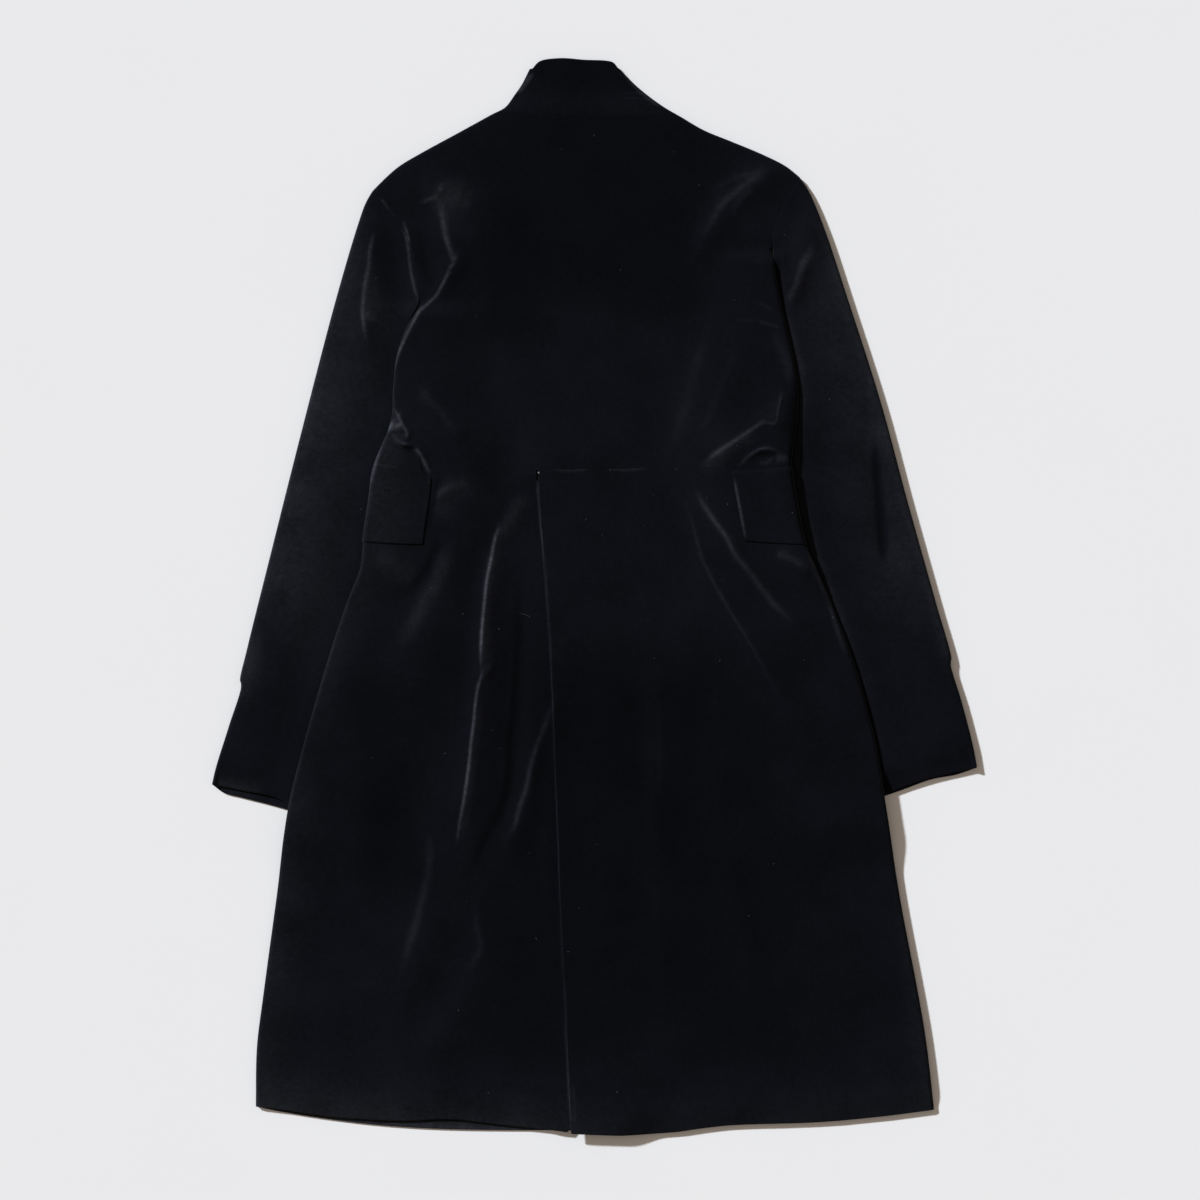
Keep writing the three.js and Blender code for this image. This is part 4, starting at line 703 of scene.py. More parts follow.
def chained(*links):
    """Curves one after another, each over its own number of steps."""
    starts = np.cumsum([0] + [steps for _, steps in links])

    def whole(share):
        at = np.asarray(share, float) * starts[-1]
        place = links[0][0](np.clip(at / links[0][1], 0, 1))
        for (link, steps), start in zip(links[1:], starts[1:]):
            here = link(np.clip((at - start) / steps, 0, 1))
            place = np.where((at >= start)[..., None], here, place)
        return place

    return whole


def reading(rows, source, target):
    """A smooth function through a table's rows, from one column to another."""
    x, y = rows[source], rows[target]
    before = np.clip(np.arange(len(x)) - 1, 0, None)
    after = np.clip(np.arange(len(x)) + 1, None, len(x) - 1)
    slope = (y[after] - y[before]) / (x[after] - x[before])
    if x[0] > x[-1]:
        x, y, slope = x[::-1], y[::-1], slope[::-1]

    def read(value):
        at = np.clip(value, x[0], x[-1])
        i = np.clip(np.searchsorted(x, at, side="right") - 1, 0, len(x) - 2)
        width = x[i + 1] - x[i]
        t = (at - x[i]) / width
        return (
            (2 * t**3 - 3 * t**2 + 1) * y[i]
            + (t**3 - 2 * t**2 + t) * width * slope[i]
            + (3 * t**2 - 2 * t**3) * y[i + 1]
            + (t**3 - t**2) * width * slope[i + 1]
        )

    return read


def smooth(start, end, at):
    share = np.clip((at - start) / (end - start), 0, 1)
    return share * share * (3 - 2 * share)


def nearest(line, x, y, reach):
    """For each place, how far a line of points is, on which side (over 0 on the left), how far along
    it the nearest place is, and the way to the line's right there. Past the reach it is the reach."""
    distance = np.full(x.shape, float(reach))
    side = np.zeros(x.shape)
    share = np.zeros(x.shape)
    right = np.zeros(x.shape + (2,))
    (x0, y0), (x1, y1) = line.min(0) - reach, line.max(0) + reach
    close = np.flatnonzero((x > x0) & (x < x1) & (y > y0) & (y < y1))
    start, step = line[:-1], np.diff(line, axis=0)
    length = np.linalg.norm(step, axis=1)
    for some in np.array_split(close, max(1, len(close) // BATCH)):
        dx = x[some, None] - start[:, 0]
        dy = y[some, None] - start[:, 1]
        t = np.clip((dx * step[:, 0] + dy * step[:, 1]) / length**2, 0, 1)
        away = np.hypot(dx - t * step[:, 0], dy - t * step[:, 1])
        best = away.argmin(axis=1)
        rows = np.arange(len(some))
        found = away[rows, best]
        distance[some] = np.minimum(found, reach)
        side[some] = step[best, 0] * dy[rows, best] - step[best, 1] * dx[rows, best]
        share[some] = (best + t[rows, best]) / len(step)
        right[some] = np.stack([step[best, 1], -step[best, 0]], axis=-1) / length[best, None]
    return distance, side, share, right


def patch(left, right, top, bottom):
    """A patch of the plane between four curves."""

    def place(u, v):
        across = (1 - u)[..., None] * left(v) + u[..., None] * right(v)
        down = (1 - v)[..., None] * top(u) + v[..., None] * bottom(u)
        upper = (1 - u)[..., None] * left(0.0) + u[..., None] * right(0.0)
        lower = (1 - u)[..., None] * left(1.0) + u[..., None] * right(1.0)
        return across + down - (1 - v)[..., None] * upper - v[..., None] * lower

    return place


SIDES = ("left", "right")
INWARD = {"left": 1, "right": -1}
waist_at = reading(WAIST, "x", "y")
hem_at = reading(BACK_HEM, "x", "y")
front_hem_at = reading(FRONT_HEM, "x", "y")
vent_at = reading(VENT, "y", "x")
edge_at = {side: reading(BODY, "y", side) for side in SIDES}
inner_at = {
    side: reading({k: v[UNDERARM_TURN:] for k, v in SLEEVE[side]["inner"].items()}, "y", "x")
    for side in SIDES
}
underarm = {side: ARMHOLE[side]["y"][-1] for side in SIDES}
cuff_end = {side: SLEEVE[side]["inner"]["y"][-1] for side in SIDES}
END = {"left": 0, "right": -1}
hem_corner = {s: (float(edge_at[s](BACK_HEM["y"][END[s]])), BACK_HEM["y"][END[s]]) for s in SIDES}
waist_corner = {s: (float(edge_at[s](WAIST["y"][END[s]])), WAIST["y"][END[s]]) for s in SIDES}
armhole = {side: curve(ARMHOLE[side]) for side in SIDES}
shoulder = {side: curve(SHOULDER[side]) for side in SIDES}
neckline = {side: curve(NECKLINE[side]) for side in SIDES}


def from_point(start, rows):
    """A table's points with one more ahead of them."""
    return {"x": np.concatenate([[start[0]], rows["x"]]), "y": np.concatenate([[start[1]], rows["y"]])}


side_back = {s: curve(from_point(armhole[s](SEAM_START[s]), SIDE_BACK[s])) for s in SIDES}


def side_edge(side, start, end, spacing=lambda share: share):
    def place(share):
        y = start + (end - start) * spacing(np.asarray(share, float))
        return np.stack([edge_at[side](y), y], axis=-1)

    return place


def folded_line(whole, steps, inside):
    """Points along a folded edge, in the order that keeps a point of the cloth on their left."""
    line = whole(np.linspace(0, 1, steps + 1))
    middle = len(line) // 2
    step = line[middle] - line[middle - 1]
    offset = np.array(inside) - line[middle]
    return line if step[0] * offset[1] > step[1] * offset[0] else line[::-1]


def sleeve_middle(side):
    outer, inner = SLEEVE[side]["outer"], SLEEVE[side]["inner"]
    return [(outer[k][len(outer[k]) // 2] + inner[k][-4]) / 2 for k in ("x", "y")]


folded = {
    "body": [
        folded_line(whole, steps, (0, 300))
        for s in SIDES
        for whole, steps in (
            (side_edge(s, underarm[s], BODY["y"][-1]), POINTS_ON["edge"]),
            (shoulder[s], POINTS_ON["shoulder"]),
        )
    ],
    **{
        s: [
            folded_line(curve(SLEEVE[s][k]), POINTS_ON["sleeve"], sleeve_middle(s))
            for k in ("outer", "inner")
        ]
        for s in SIDES
    },
}


def nearest_edge(lines, x, y, reach):
    """The distance to the nearest of some folded edges, and the way out of the cloth there."""
    found = [nearest(line, x, y, reach) for line in lines]
    distances = np.stack([one[0] for one in found])
    best = distances.argmin(axis=0)
    outward = np.stack([one[3] for one in found])
    rows = np.arange(x.size)
    return distances[best, rows], outward[best, rows]


# Heights --------------------------------------------------------------------------------------------

FOLD_TAPER = 0.25  # share of a fold's length over which it rises and dies away
FOLD_REACH = 2.6  # widths past which a fold adds nothing


def fold_lines(rows):
    """A table's folds with the line that each follows."""
    return [(name, height, left, right, centripetal(np.array(path, float), steps=8))
            for name, height, left, right, path in rows]


back_folds = fold_lines(BACK_FOLDS + FINE_BACK_FOLDS)
sleeve_folds = fold_lines(SLEEVE_FOLDS + FINE_SLEEVE_FOLDS)
collar_folds = fold_lines(COLLAR_FOLDS)
# Painted light and shade for the velvet's colour, with some of the pile's own lean.
body_nap_and_painted_light = fold_lines(BODY_NAP_AND_PAINTED_LIGHT)
sleeve_nap_and_painted_light = fold_lines(SLEEVE_NAP_AND_PAINTED_LIGHT)
collar_nap_and_painted_light = fold_lines(COLLAR_NAP_AND_PAINTED_LIGHT)
flap_nap_and_painted_light = fold_lines(FLAP_NAP_AND_PAINTED_LIGHT)
lining_painted_light = fold_lines(LINING_PAINTED_LIGHT)


def fold_height(folds, x, y):
    """The height that the folds add at each place."""
    total = np.zeros(x.shape)
    for _, height, left, right, line in folds:
        distance, side, share, _ = nearest(line, x, y, FOLD_REACH * max(left, right))
        width = np.where(side < 0, left, right)
        taper = smooth(0, FOLD_TAPER, share) * smooth(0, FOLD_TAPER, 1 - share)
        total += height * taper * np.exp(-((distance / width) ** 2))
    return total


def fold_grid(folds, grid):
    """What the folds add at each point of a grid."""
    return fold_height(folds, grid[..., 0].ravel(), grid[..., 1].ravel()).reshape(grid.shape[:2])


def unevenness(x, y):
    """The slight rise and fall of cloth that was smoothed flat by hand, in millimetres."""
    wander, reach = UNEVEN_BEND
    total = np.zeros(x.shape)
    for wave, (size, turn, shift) in enumerate(UNEVEN_WAVES):
        across = x * math.cos(turn) + y * math.sin(turn)
        bend = wander * np.sin(y / reach + wave)
        total += np.sin((across + bend) / size * 2 * math.pi + shift)
    return UNEVEN * total / len(UNEVEN_WAVES)


def rounded(radius, distance):
    """Half of a stack of cloth with a rounded edge, at a distance from that edge."""
    short = np.clip(radius - distance, 0, None)
    return np.sqrt(np.clip(radius**2 - short**2, 0, None))


def lift(x, y):
    """What the sleeves and the ends of the flaps under the body lift it by."""
    highest = np.zeros(x.shape)
    for side in SIDES:
        past = INWARD[side] * (x - inner_at[side](y)) - DRAPE_START
        on_sleeve = (
            (1 - smooth(0, DRAPE, past))
            * smooth(*SLEEVE_TOP, y - underarm[side])
            * smooth(*SLEEVE_END, y - cuff_end[side])
        )
        inside = INWARD[side] * (x - edge_at[side](y))
        on_flap = (
            smooth(*FLAP_INSIDE, inside - FLAP_UNDER) * smooth(*FLAP_BELOW, y) * smooth(*FLAP_ABOVE, y)
        )
        here = on_sleeve * (PRESSED_STACK + CLEAR) + on_flap * (FLAP_GAP + WALL + CLEAR)
        highest = np.maximum(highest, here)
    return highest


def body_stack(x, y):
    distance, _ = nearest_edge(folded["body"], x, y, EDGE_REACH)
    near_edge = 1 - smooth(0, EDGE_REACH, distance)
    near_hem = 1 - smooth(0, EDGE_REACH, y - hem_at(x))
    return FLAT_STACK + (EDGE_STACK - FLAT_STACK) * np.maximum(near_edge, near_hem)


def lap_rise(x, y):
    """The right skirt rises over the left one's lap, and the bodice follows it at the waist."""
    past = x - vent_at(y)
    return LAP_RISE * smooth(LAP_START, 0, past) * (1 - smooth(LAP, LAP + LAP_FALL, past))


def bodice_rise(x, y):
    return lap_rise(x, y) * smooth(VENT["y"][0] + LAP_ABOVE, VENT["y"][0], y)


def body_face(up, more):
    return {
        "stack": body_stack,
        "edges": folded["body"],
        "middle": lambda x, y, stack: lift(x, y) + stack / 2,
        "up": up,
        "more": more,
        # Painted light and shade of the body; the lower face also gets the painted light on its hem.
        "nap_and_painted_light": body_nap_and_painted_light if up > 0 else body_nap_and_painted_light + lining_painted_light,
    }


def creases(x, y, distance):
    return (fold_height(back_folds, x, y) + unevenness(x, y)) * smooth(0, EDGE_CALM, distance)


def pressed_hem(x, y, stack):
    """How much lower the back skirt lies at its hem, away from the lap."""
    past = x - vent_at(y)
    away = np.maximum(smooth(*LAP_FREE, past), smooth(LAP, LAP + LAP_FALL, past))
    return np.maximum(stack - LEAST_STACK, 0) * (1 - smooth(0, PRESSED_HEM, y - hem_at(x))) * away


def back_face(rise):
    """The outer face of the back, over what the rise names."""

    def more(x, y, stack, distance):
        own = creases(x, y, distance) + rise(x, y) - pressed_hem(x, y, stack)
        return np.maximum(own, LEAST_STACK - stack)

    return body_face(1, more)


def left_skirt_more(x, y, stack, distance):
    """The left skirt is free up to the vent, and pressed flat in the lap."""
    past = x - vent_at(y)
    free = smooth(*LAP_FREE, past)
    own = np.maximum(creases(x, y, distance) - pressed_hem(x, y, stack), LEAST_STACK - stack)
    to_bodice = smooth(*WAIST_RISE, y - waist_at(x)) * smooth(*VENT_RISE, past)
    return own * free + np.minimum(0, FLAT_STACK - stack) * (1 - free) + bodice_rise(x, y) * to_bodice


bodice_back = back_face(bodice_rise)
right_skirt_back = back_face(lap_rise)
left_skirt_back = body_face(1, left_skirt_more)
back_faces = {"left": left_skirt_back, "right": right_skirt_back}
front_face = body_face(-1, lambda x, y, stack, distance: np.zeros(x.shape))


def sleeve_face(side, up):
    """The upper or lower face of a sleeve, which is pressed flat under the body."""
    armhole_line = armhole[side](np.linspace(0, 1, POINTS_ON["armhole"]))
    cuff_line = curve(SLEEVE[side]["backCuff"])(np.linspace(0, 1, POINTS_ON["cuff"]))

    def outside(x, y):
        return INWARD[side] * (edge_at[side](y) - x)

    def stack(x, y):
        return PRESSED_STACK + (EDGE_STACK - PRESSED_STACK) * smooth(*SLEEVE_SWELL, outside(x, y))

    def more(x, y, stack, distance):
        if up < 0:
            return np.zeros(x.shape)
        past, above = outside(x, y), y - underarm[side]
        calm = smooth(0, EDGE_CALM, distance)
        folds = (fold_height(sleeve_folds, x, y) + unevenness(x, y)) * smooth(0, EDGE_CALM, past)
        beside = smooth(*BESIDE_RISE, past) * (1 - smooth(*BESIDE_FALL, past)) * smooth(*BESIDE_TOP, above)
        from_cuff = nearest(cuff_line, x, y, PRESSED_HEM)[0]
        near_cuff = 1 - smooth(0, PRESSED_HEM, from_cuff)
        pressed = np.maximum(stack - LEAST_STACK, 0) * near_cuff * smooth(0, CUFF_CALM, distance)
        from_seam = nearest(armhole_line, x, y, ARMHOLE_BLEND)[0]
        shows = np.maximum(smooth(*ARMHOLE_OUTSIDE, past), smooth(*ARMHOLE_ABOVE, above))
        near = (1 - smooth(0, ARMHOLE_BLEND, from_seam)) * shows * smooth(0, ARMHOLE_CALM, distance)
        to_body = lift(x, y) + body_stack(x, y) - stack / 2 - rounded(stack / 2, distance)
        own = (folds + BESIDE[side] * beside) * calm * (1 - near) * (1 - near_cuff)
        return own + to_body * near - pressed

    return {
        "stack": stack,
        "edges": folded[side],
        "middle": lambda x, y, stack: stack / 2,
        "up": up,
        "more": more,
        # Painted light and shade of the sleeve; the lower face also gets the painted light on its cuff.
        "nap_and_painted_light": sleeve_nap_and_painted_light if up > 0 else sleeve_nap_and_painted_light + lining_painted_light,
    }


def height_of(face, x, y):
    stack = face["stack"](x, y)
    distance, _ = nearest_edge(face["edges"], x, y, EDGE_REACH)
    half = np.maximum(rounded(stack / 2, distance), SEAM / 2)
    return face["middle"](x, y, stack) + face["up"] * (half + face["more"](x, y, stack, distance))


def outward_of(face, x, y, z):
    """The direction that a face looks in at each place: straight out at a folded edge."""
    step = 0.2
    normal = np.stack(
        [
            (z - height_of(face, x + step, y)) * face["up"],
            (z - height_of(face, x, y + step)) * face["up"],
            np.full(x.shape, step * face["up"]),
        ],
        axis=-1,
    )
    distance, outward = nearest_edge(face["edges"], x, y, EDGE_REACH)
    at_fold = distance <= SEAM
    normal[at_fold, :2] = outward[at_fold]
    normal[at_fold, 2] = 0
    return normal / np.linalg.norm(normal, axis=-1, keepdims=True)


# Cloth ----------------------------------------------------------------------------------------------

# How far from a border its first lines of points lie: round a folded edge, round a turned and pressed
# edge, and beside a seam.
FOLD_LINES = (0, 0.1, 0.35, 0.8, 1.4, 2.1, 3.0, 4.2)
TURNED_LINES = (0, 0.08, 0.3, 0.65, 1.1, 1.8)
SEAM_LINES = (0, 0.5, 1.1, 1.9, 3.0)
PLAIN_LINES = (0,)
NARROWEST = 0.3  # a border's lines take up at most this share of a row


def line_shares(length, steps, start, end):
    """Shares of a length: close together at its borders, and even between."""
    fit = min(1, NARROWEST * length / max(start[-1], end[-1], 1))
    first = np.array(start) * fit
    last = length - np.array(end)[::-1] * fit
    even = np.linspace(first[-1], last[0], steps + 1)[1:-1]
    return np.concatenate([first, even, last]) / length


def open_seam(grid, border, beside, gap):
    """Moves a border of a grid off the seam line that it lies on, towards the line beside it."""
    line = grid[border].copy()
    direction = np.gradient(line, axis=0)
    across = np.stack([-direction[:, 1], direction[:, 0]], axis=-1)
    across /= np.linalg.norm(across, axis=-1, keepdims=True)
    way = np.sign((across * (grid[beside] - line)).sum(-1, keepdims=True))
    grid[border] = line + way * across * gap


BORDERS = {
    "left": (np.s_[:, 0], np.s_[:, 1]),
    "right": (np.s_[:, -1], np.s_[:, -2]),
    "top": (np.s_[0], np.s_[1]),
    "bottom": (np.s_[-1], np.s_[-2]),
}
LINES = {
    "fold": FOLD_LINES,
    "turned": TURNED_LINES,
    "seam": SEAM_LINES,
    "pressed": SEAM_LINES,
    "plain": PLAIN_LINES,
}
DIPS = {"seam": SEAM_DIP, "pressed": PRESSED_DIP}


def from_border(points, border):
    """The distance of each point of a grid from one of its borders, along the grid's lines."""
    axis = 1 if border in ("left", "right") else 0
    steps = np.linalg.norm(np.diff(points, axis=axis), axis=-1)
    if border in ("right", "bottom"):
        steps = np.flip(steps, axis)
    start = np.zeros_like(np.take(steps, [0], axis))
    distance = np.concatenate([start, np.cumsum(steps, axis)], axis)
    return np.flip(distance, axis) if border in ("right", "bottom") else distance


def flat_grid(plan, v, steps, borders):
    """The places of a piece's points on the plane, row by row."""
    width = np.linalg.norm(plan(np.ones(len(v)), v) - plan(np.zeros(len(v)), v), axis=-1)
    start, end = LINES[borders["left"][0]], LINES[borders["right"][0]]
    u = np.stack([line_shares(max(one, 1.0), steps, start, end) for one in width])
    grid = plan(u, np.broadcast_to(v[:, None], u.shape))
    for border, (_, gap) in borders.items():
        if gap:
            open_seam(grid, *BORDERS[border], gap)
    return grid


def wall_faces(points, normals, turned, dips, wall=WALL):
    """The outer and inner faces of a wall of cloth, from points on its outer face: rounded at its turned
    edges, and drawn in beside its seams, each to a depth over a distance."""
    thickness = np.full(points.shape[:2], wall)
    for border in turned:
        distance = from_border(points, border)
        turn = np.maximum(rounded(TURN_RADIUS, distance) / TURN_RADIUS, TURN_LEAST)
        thickness = np.minimum(thickness, wall * turn)
    drawn_in = np.zeros(points.shape[:2])
    for border, (depth, reach) in dips.items():
        distance = np.clip(from_border(points, border) / reach, 0, 1)
        drawn_in = np.maximum(drawn_in, depth * (1 - distance) ** 2)
    middle = points - normals * wall / 2
    outer = middle + normals * (thickness / 2 - np.minimum(drawn_in, wall - THINNEST))[..., None]
    return outer, middle - normals * (thickness / 2)[..., None]


def wall_mesh(name, outer, inner, nap_and_painted_light):
    """A closed wall of cloth between two grids of points, with the painted light and shade of its velvet at
    each.
    """
    rows, columns = outer.shape[:2]
    count = rows * columns
    vertices = np.concatenate([outer.reshape(-1, 3), inner.reshape(-1, 3)]) * MM
    at = np.arange(count).reshape(rows, columns)

    def quads(grid):
        corners = (grid[:-1, :-1], grid[1:, :-1], grid[1:, 1:], grid[:-1, 1:])
        return np.stack([corner.ravel() for corner in corners], axis=-1)

    def band(line):
        return np.stack([line[:-1], line[1:], line[1:] + count, line[:-1] + count], axis=-1)

    faces = np.concatenate([
        quads(at),
        quads(at)[:, ::-1] + count,
        band(at[0]),
        band(at[-1][::-1]),
        band(at[:, 0][::-1]),
        band(at[:, -1]),
    ])
    mesh = bpy.data.meshes.new(name)
    mesh.vertices.add(len(vertices))
    mesh.vertices.foreach_set("co", vertices.astype(np.float32).ravel())
    mesh.loops.add(faces.size)
    mesh.loops.foreach_set("vertex_index", faces.astype(np.int32).ravel())
    mesh.polygons.add(len(faces))
    mesh.polygons.foreach_set("loop_start", np.arange(0, faces.size, 4, dtype=np.int32))
    mesh.update(calc_edges=True)
    # Painted light and shade, the same on both faces of the wall.
    painted_lightness = mesh.attributes.new(NAP_AND_PAINTED_LIGHT, "FLOAT", "POINT")
    painted_lightness.data.foreach_set("value", np.tile(nap_and_painted_light.ravel(), 2).astype(np.float32))
    made = bmesh.new()
    made.from_mesh(mesh)
    if made.calc_volume(signed=True) < 0:
        bmesh.ops.reverse_faces(made, faces=made.faces)
    made.to_mesh(mesh)
    made.free()
    mesh.polygons.foreach_set("use_smooth", np.ones(len(faces), bool))
    mesh.set_sharp_from_angle(angle=math.radians(55))
    mesh.validate()
    return mesh


def cloth_object(node, outer, inner, nap_and_painted_light, material):
    """Makes a piece of cloth, which stands for a solid and rides on the coat's body."""
    piece = bpy.data.objects.new("cloth_" + node, wall_mesh("cloth_" + node, outer, inner, nap_and_painted_light))
    bpy.context.collection.objects.link(piece)
    piece.data.materials.append(material)
    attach(piece, BODY_NAME)
    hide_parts(node)
    return piece


def cloth_piece(node, plan, v, steps, borders, face, material):
    """Makes a piece of cloth over a patch of the plane, on one face of the body or of a sleeve."""
    grid = flat_grid(plan, v, steps, borders)
    x, y = grid[..., 0].ravel(), grid[..., 1].ravel()
    z = height_of(face, x, y)
    normals = outward_of(face, x, y, z).reshape(grid.shape[:2] + (3,))
    points = np.concatenate([grid, z.reshape(grid.shape[:2])[..., None]], axis=-1)
    turned = [border for border, (kind, _) in borders.items() if kind == "turned"]
    dips = {border: DIPS[kind] for border, (kind, _) in borders.items() if kind in DIPS}
    outer, inner = wall_faces(points, normals, turned, dips)
    # The painted light and shade of the face, read at each point.
    return cloth_object(node, outer, inner, fold_grid(face["nap_and_painted_light"], grid), material)


# Sewing and lint ------------------------------------------------------------------------------------

# Places of the tack, of one loose hair and of the larger specks of lint.
TACK = (-55.7, 123.8)
HAIR = [(-75, -16), (-72, -17.4), (-68, -18.6), (-65.6, -19.6), (-64.4, -21.4)]
LINT = [
    (-150, -157), (-102, -134), (-25, -106), (-65, -257), (-59, -343), (-128, -306), (105, 412), (112, 99),
    (142.5, 126), (197, 83), (-165, 114), (-234, 88), (-212, 152), (128, 17), (125, -64), (209, -63),
    (-9.5, 77), (51, 71), (81, 128), (-75, 115), (80, 445), (-1, 462), (-33, 448), (22, -496), (15.5, 127),
]
STREWN = {"x": (-240, 240), "y": (-500, 440)}  # where the smaller specks lie
SPECK_SIZES = (0.45, 1.1)  # against the length of a speck
SPECK_BEND = math.radians(115)
BEND_STEPS = 6
THREAD_SIDES = 5


def shown_height(x, y):
    """The height of the topmost cloth at a place."""
    side = "left" if x < 0 else "right"
    at = np.array([x]), np.array([y])
    inside = INWARD[side] * (x - float(edge_at[side](y)))
    above_waist = y > float(waist_at(x))
    if inside < 0:
        face = sleeve_face(side, 1)
    elif above_waist:
        face = bodice_back
    else:
        face = back_faces["right" if x > float(vent_at(y)) else "left"]
    below_waist = float(waist_at(x)) - y
    on_flap = 0 < inside < FLAP_OVER and 0 < below_waist < FLAP_DROP[side]["inner"]
    return float(height_of(face, *at)[0]) + on_flap * (FLAP_REST + FLAP_WALL)


def new_tree(name, kind, inputs, outputs):
    """A new tree of nodes with named inputs and outputs."""
    tree = bpy.data.node_groups.new(name, kind)
    for way, sockets in (("INPUT", inputs), ("OUTPUT", outputs)):
        for label, socket in sockets.items():
            tree.interface.new_socket(label, in_out=way, socket_type="NodeSocket" + socket)
    return tree, tree.nodes.new("NodeGroupInput"), tree.nodes.new("NodeGroupOutput")


def geometry_tree(name, sizes):
    shape = {"Geometry": "Geometry"}
    return new_tree(name, "GeometryNodeTree", {**shape, **sizes}, shape)


def fill(tree, target, value):
    """Sets an input to a value, or links it where that is a socket."""
    if isinstance(value, bpy.types.NodeSocket):
        tree.links.new(value, target)
    else:
        target.default_value = value


def node(tree, kind, **inputs):
    """A node with its inputs filled by name."""
    made = tree.nodes.new(kind)
    for name, value in inputs.items():
        fill(tree, made.inputs[name.replace("_", " ")], value)
    return made


def maths(tree, operation, *values):
    """What a maths node makes of some values or sockets."""
    made = tree.nodes.new("ShaderNodeMath")
    made.operation = operation
    for target, value in zip(made.inputs, values):
        fill(tree, target, value)
    return made.outputs[0]


def random_value(tree, seed, least, most):
    """A random number for each point."""
    chance = node(tree, "FunctionNodeRandomValue", Seed=seed)
    chance.data_type = "FLOAT"
    chance.inputs["Min"].default_value = least
    chance.inputs["Max"].default_value = most
    return chance.outputs["Value"]


def round_thread(tree, line, thickness):
    """A line as a round thread with closed ends."""
    radius = maths(tree, "MULTIPLY", thickness, 0.5)
    ring = node(tree, "GeometryNodeCurvePrimitiveCircle", Resolution=THREAD_SIDES, Radius=radius)
    return node(
        tree, "GeometryNodeCurveToMesh", Curve=line, Profile_Curve=ring.outputs["Curve"], Fill_Caps=True
    ).outputs["Mesh"]


def end_tree(tree, leave, geometry, material):
    """Makes a tree's instances real and gives them their material."""
    real = node(tree, "GeometryNodeRealizeInstances", Geometry=geometry)
    ready = node(tree, "GeometryNodeSetMaterial", Geometry=real.outputs["Geometry"], Material=material)
    tree.links.new(ready.outputs["Geometry"], leave.inputs["Geometry"])
    return tree


def tack_tree():
    """Stitches side by side, each bowed up over the cloth."""
    tree, entry, leave = geometry_tree(
        "bar_tack", {"Stitches": "Int", "Length": "Float", "Thread": "Float", "Material": "Material"}
    )
    half = maths(tree, "MULTIPLY", entry.outputs["Length"], 0.5)
    minus = maths(tree, "MULTIPLY", half, -1)
    bow = node(
        tree, "GeometryNodeCurveQuadraticBezier", Resolution=BEND_STEPS,
        Start=node(tree, "ShaderNodeCombineXYZ", Y=minus).outputs[0],
        Middle=node(tree, "ShaderNodeCombineXYZ", Z=half).outputs[0],
        End=node(tree, "ShaderNodeCombineXYZ", Y=half).outputs[0],
    )
    stitch = round_thread(tree, bow.outputs["Curve"], entry.outputs["Thread"])
    row = node(
        tree, "GeometryNodeMeshLine", Count=entry.outputs["Stitches"],
        Offset=node(tree, "ShaderNodeCombineXYZ", X=entry.outputs["Thread"]).outputs[0],
    )
    sewn = node(tree, "GeometryNodeInstanceOnPoints", Points=row.outputs["Mesh"], Instance=stitch)
    return end_tree(tree, leave, sewn.outputs["Instances"], entry.outputs["Material"])


def lint_tree():
    """A short bent fibre at each point, turned and sized at random."""
    tree, entry, leave = geometry_tree(
        "lint", {"Length": "Float", "Thickness": "Float", "Seed": "Int", "Material": "Material"}
    )
    radius = maths(tree, "MULTIPLY", entry.outputs["Length"], 0.5)
    bent = node(tree, "GeometryNodeCurveArc", Resolution=BEND_STEPS, Radius=radius, Sweep_Angle=SPECK_BEND)
    fibre = round_thread(tree, bent.outputs["Curve"], entry.outputs["Thickness"])
    turn = node(tree, "ShaderNodeCombineXYZ", Z=random_value(tree, entry.outputs["Seed"], 0, 2 * math.pi))
    turned = node(tree, "FunctionNodeEulerToRotation", Euler=turn.outputs[0])
    size = random_value(tree, entry.outputs["Seed"], *SPECK_SIZES)
    strewn = node(
        tree, "GeometryNodeInstanceOnPoints", Points=entry.outputs["Geometry"], Instance=fibre,
        Rotation=turned.outputs["Rotation"], Scale=size,
    )
    return end_tree(tree, leave, strewn.outputs["Instances"], entry.outputs["Material"])


def hair_tree():
    """One hair along the edges of a line."""
    tree, entry, leave = geometry_tree("hair", {"Thickness": "Float", "Material": "Material"})
    line = node(tree, "GeometryNodeMeshToCurve", Mesh=entry.outputs["Geometry"])
    hair = round_thread(tree, line.outputs["Curve"], entry.outputs["Thickness"])
    return end_tree(tree, leave, hair, entry.outputs["Material"])


def grown(name, places, edges, tree, sizes, offset=(0, 0, 0)):
    """The plain mesh that a tree makes from some places, as a piece that rides on the coat."""
    start = bpy.data.meshes.new(name)
    start.from_pydata([[one * MM for one in place] for place in places], edges, [])
    piece = bpy.data.objects.new(name, start)
    bpy.context.collection.objects.link(piece)
    modifier = piece.modifiers.new(name, "NODES")
    modifier.node_group = tree
    for item in tree.interface.items_tree:
        if item.in_out == "INPUT" and item.name in sizes:
            modifier[item.identifier] = sizes[item.name]
    made = bpy.data.meshes.new_from_object(piece.evaluated_get(bpy.context.evaluated_depsgraph_get()))
    piece.modifiers.clear()
    piece.data = made
    if not made.polygons:
        raise RuntimeError(f"{name} came out empty")
    made.transform(Matrix.Translation(Vector(offset) * MM))
    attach(piece, BODY_NAME)
    return piece


def make_tack(settings):
    x, y = TACK
    sizes = {
        "Stitches": settings.stitches,
        "Length": settings.stitch_length,
        "Thread": settings.thread,
        "Material": plain_material("tack_thread", (0.28, 0.28, 0.29), 0.6),
    }
    half_row = settings.stitches * settings.thread / MM / 2
    place = (x - half_row, y, shown_height(x, y))
    grown("bar_tack", [(0, 0, 0)], [], tack_tree(), sizes, place)


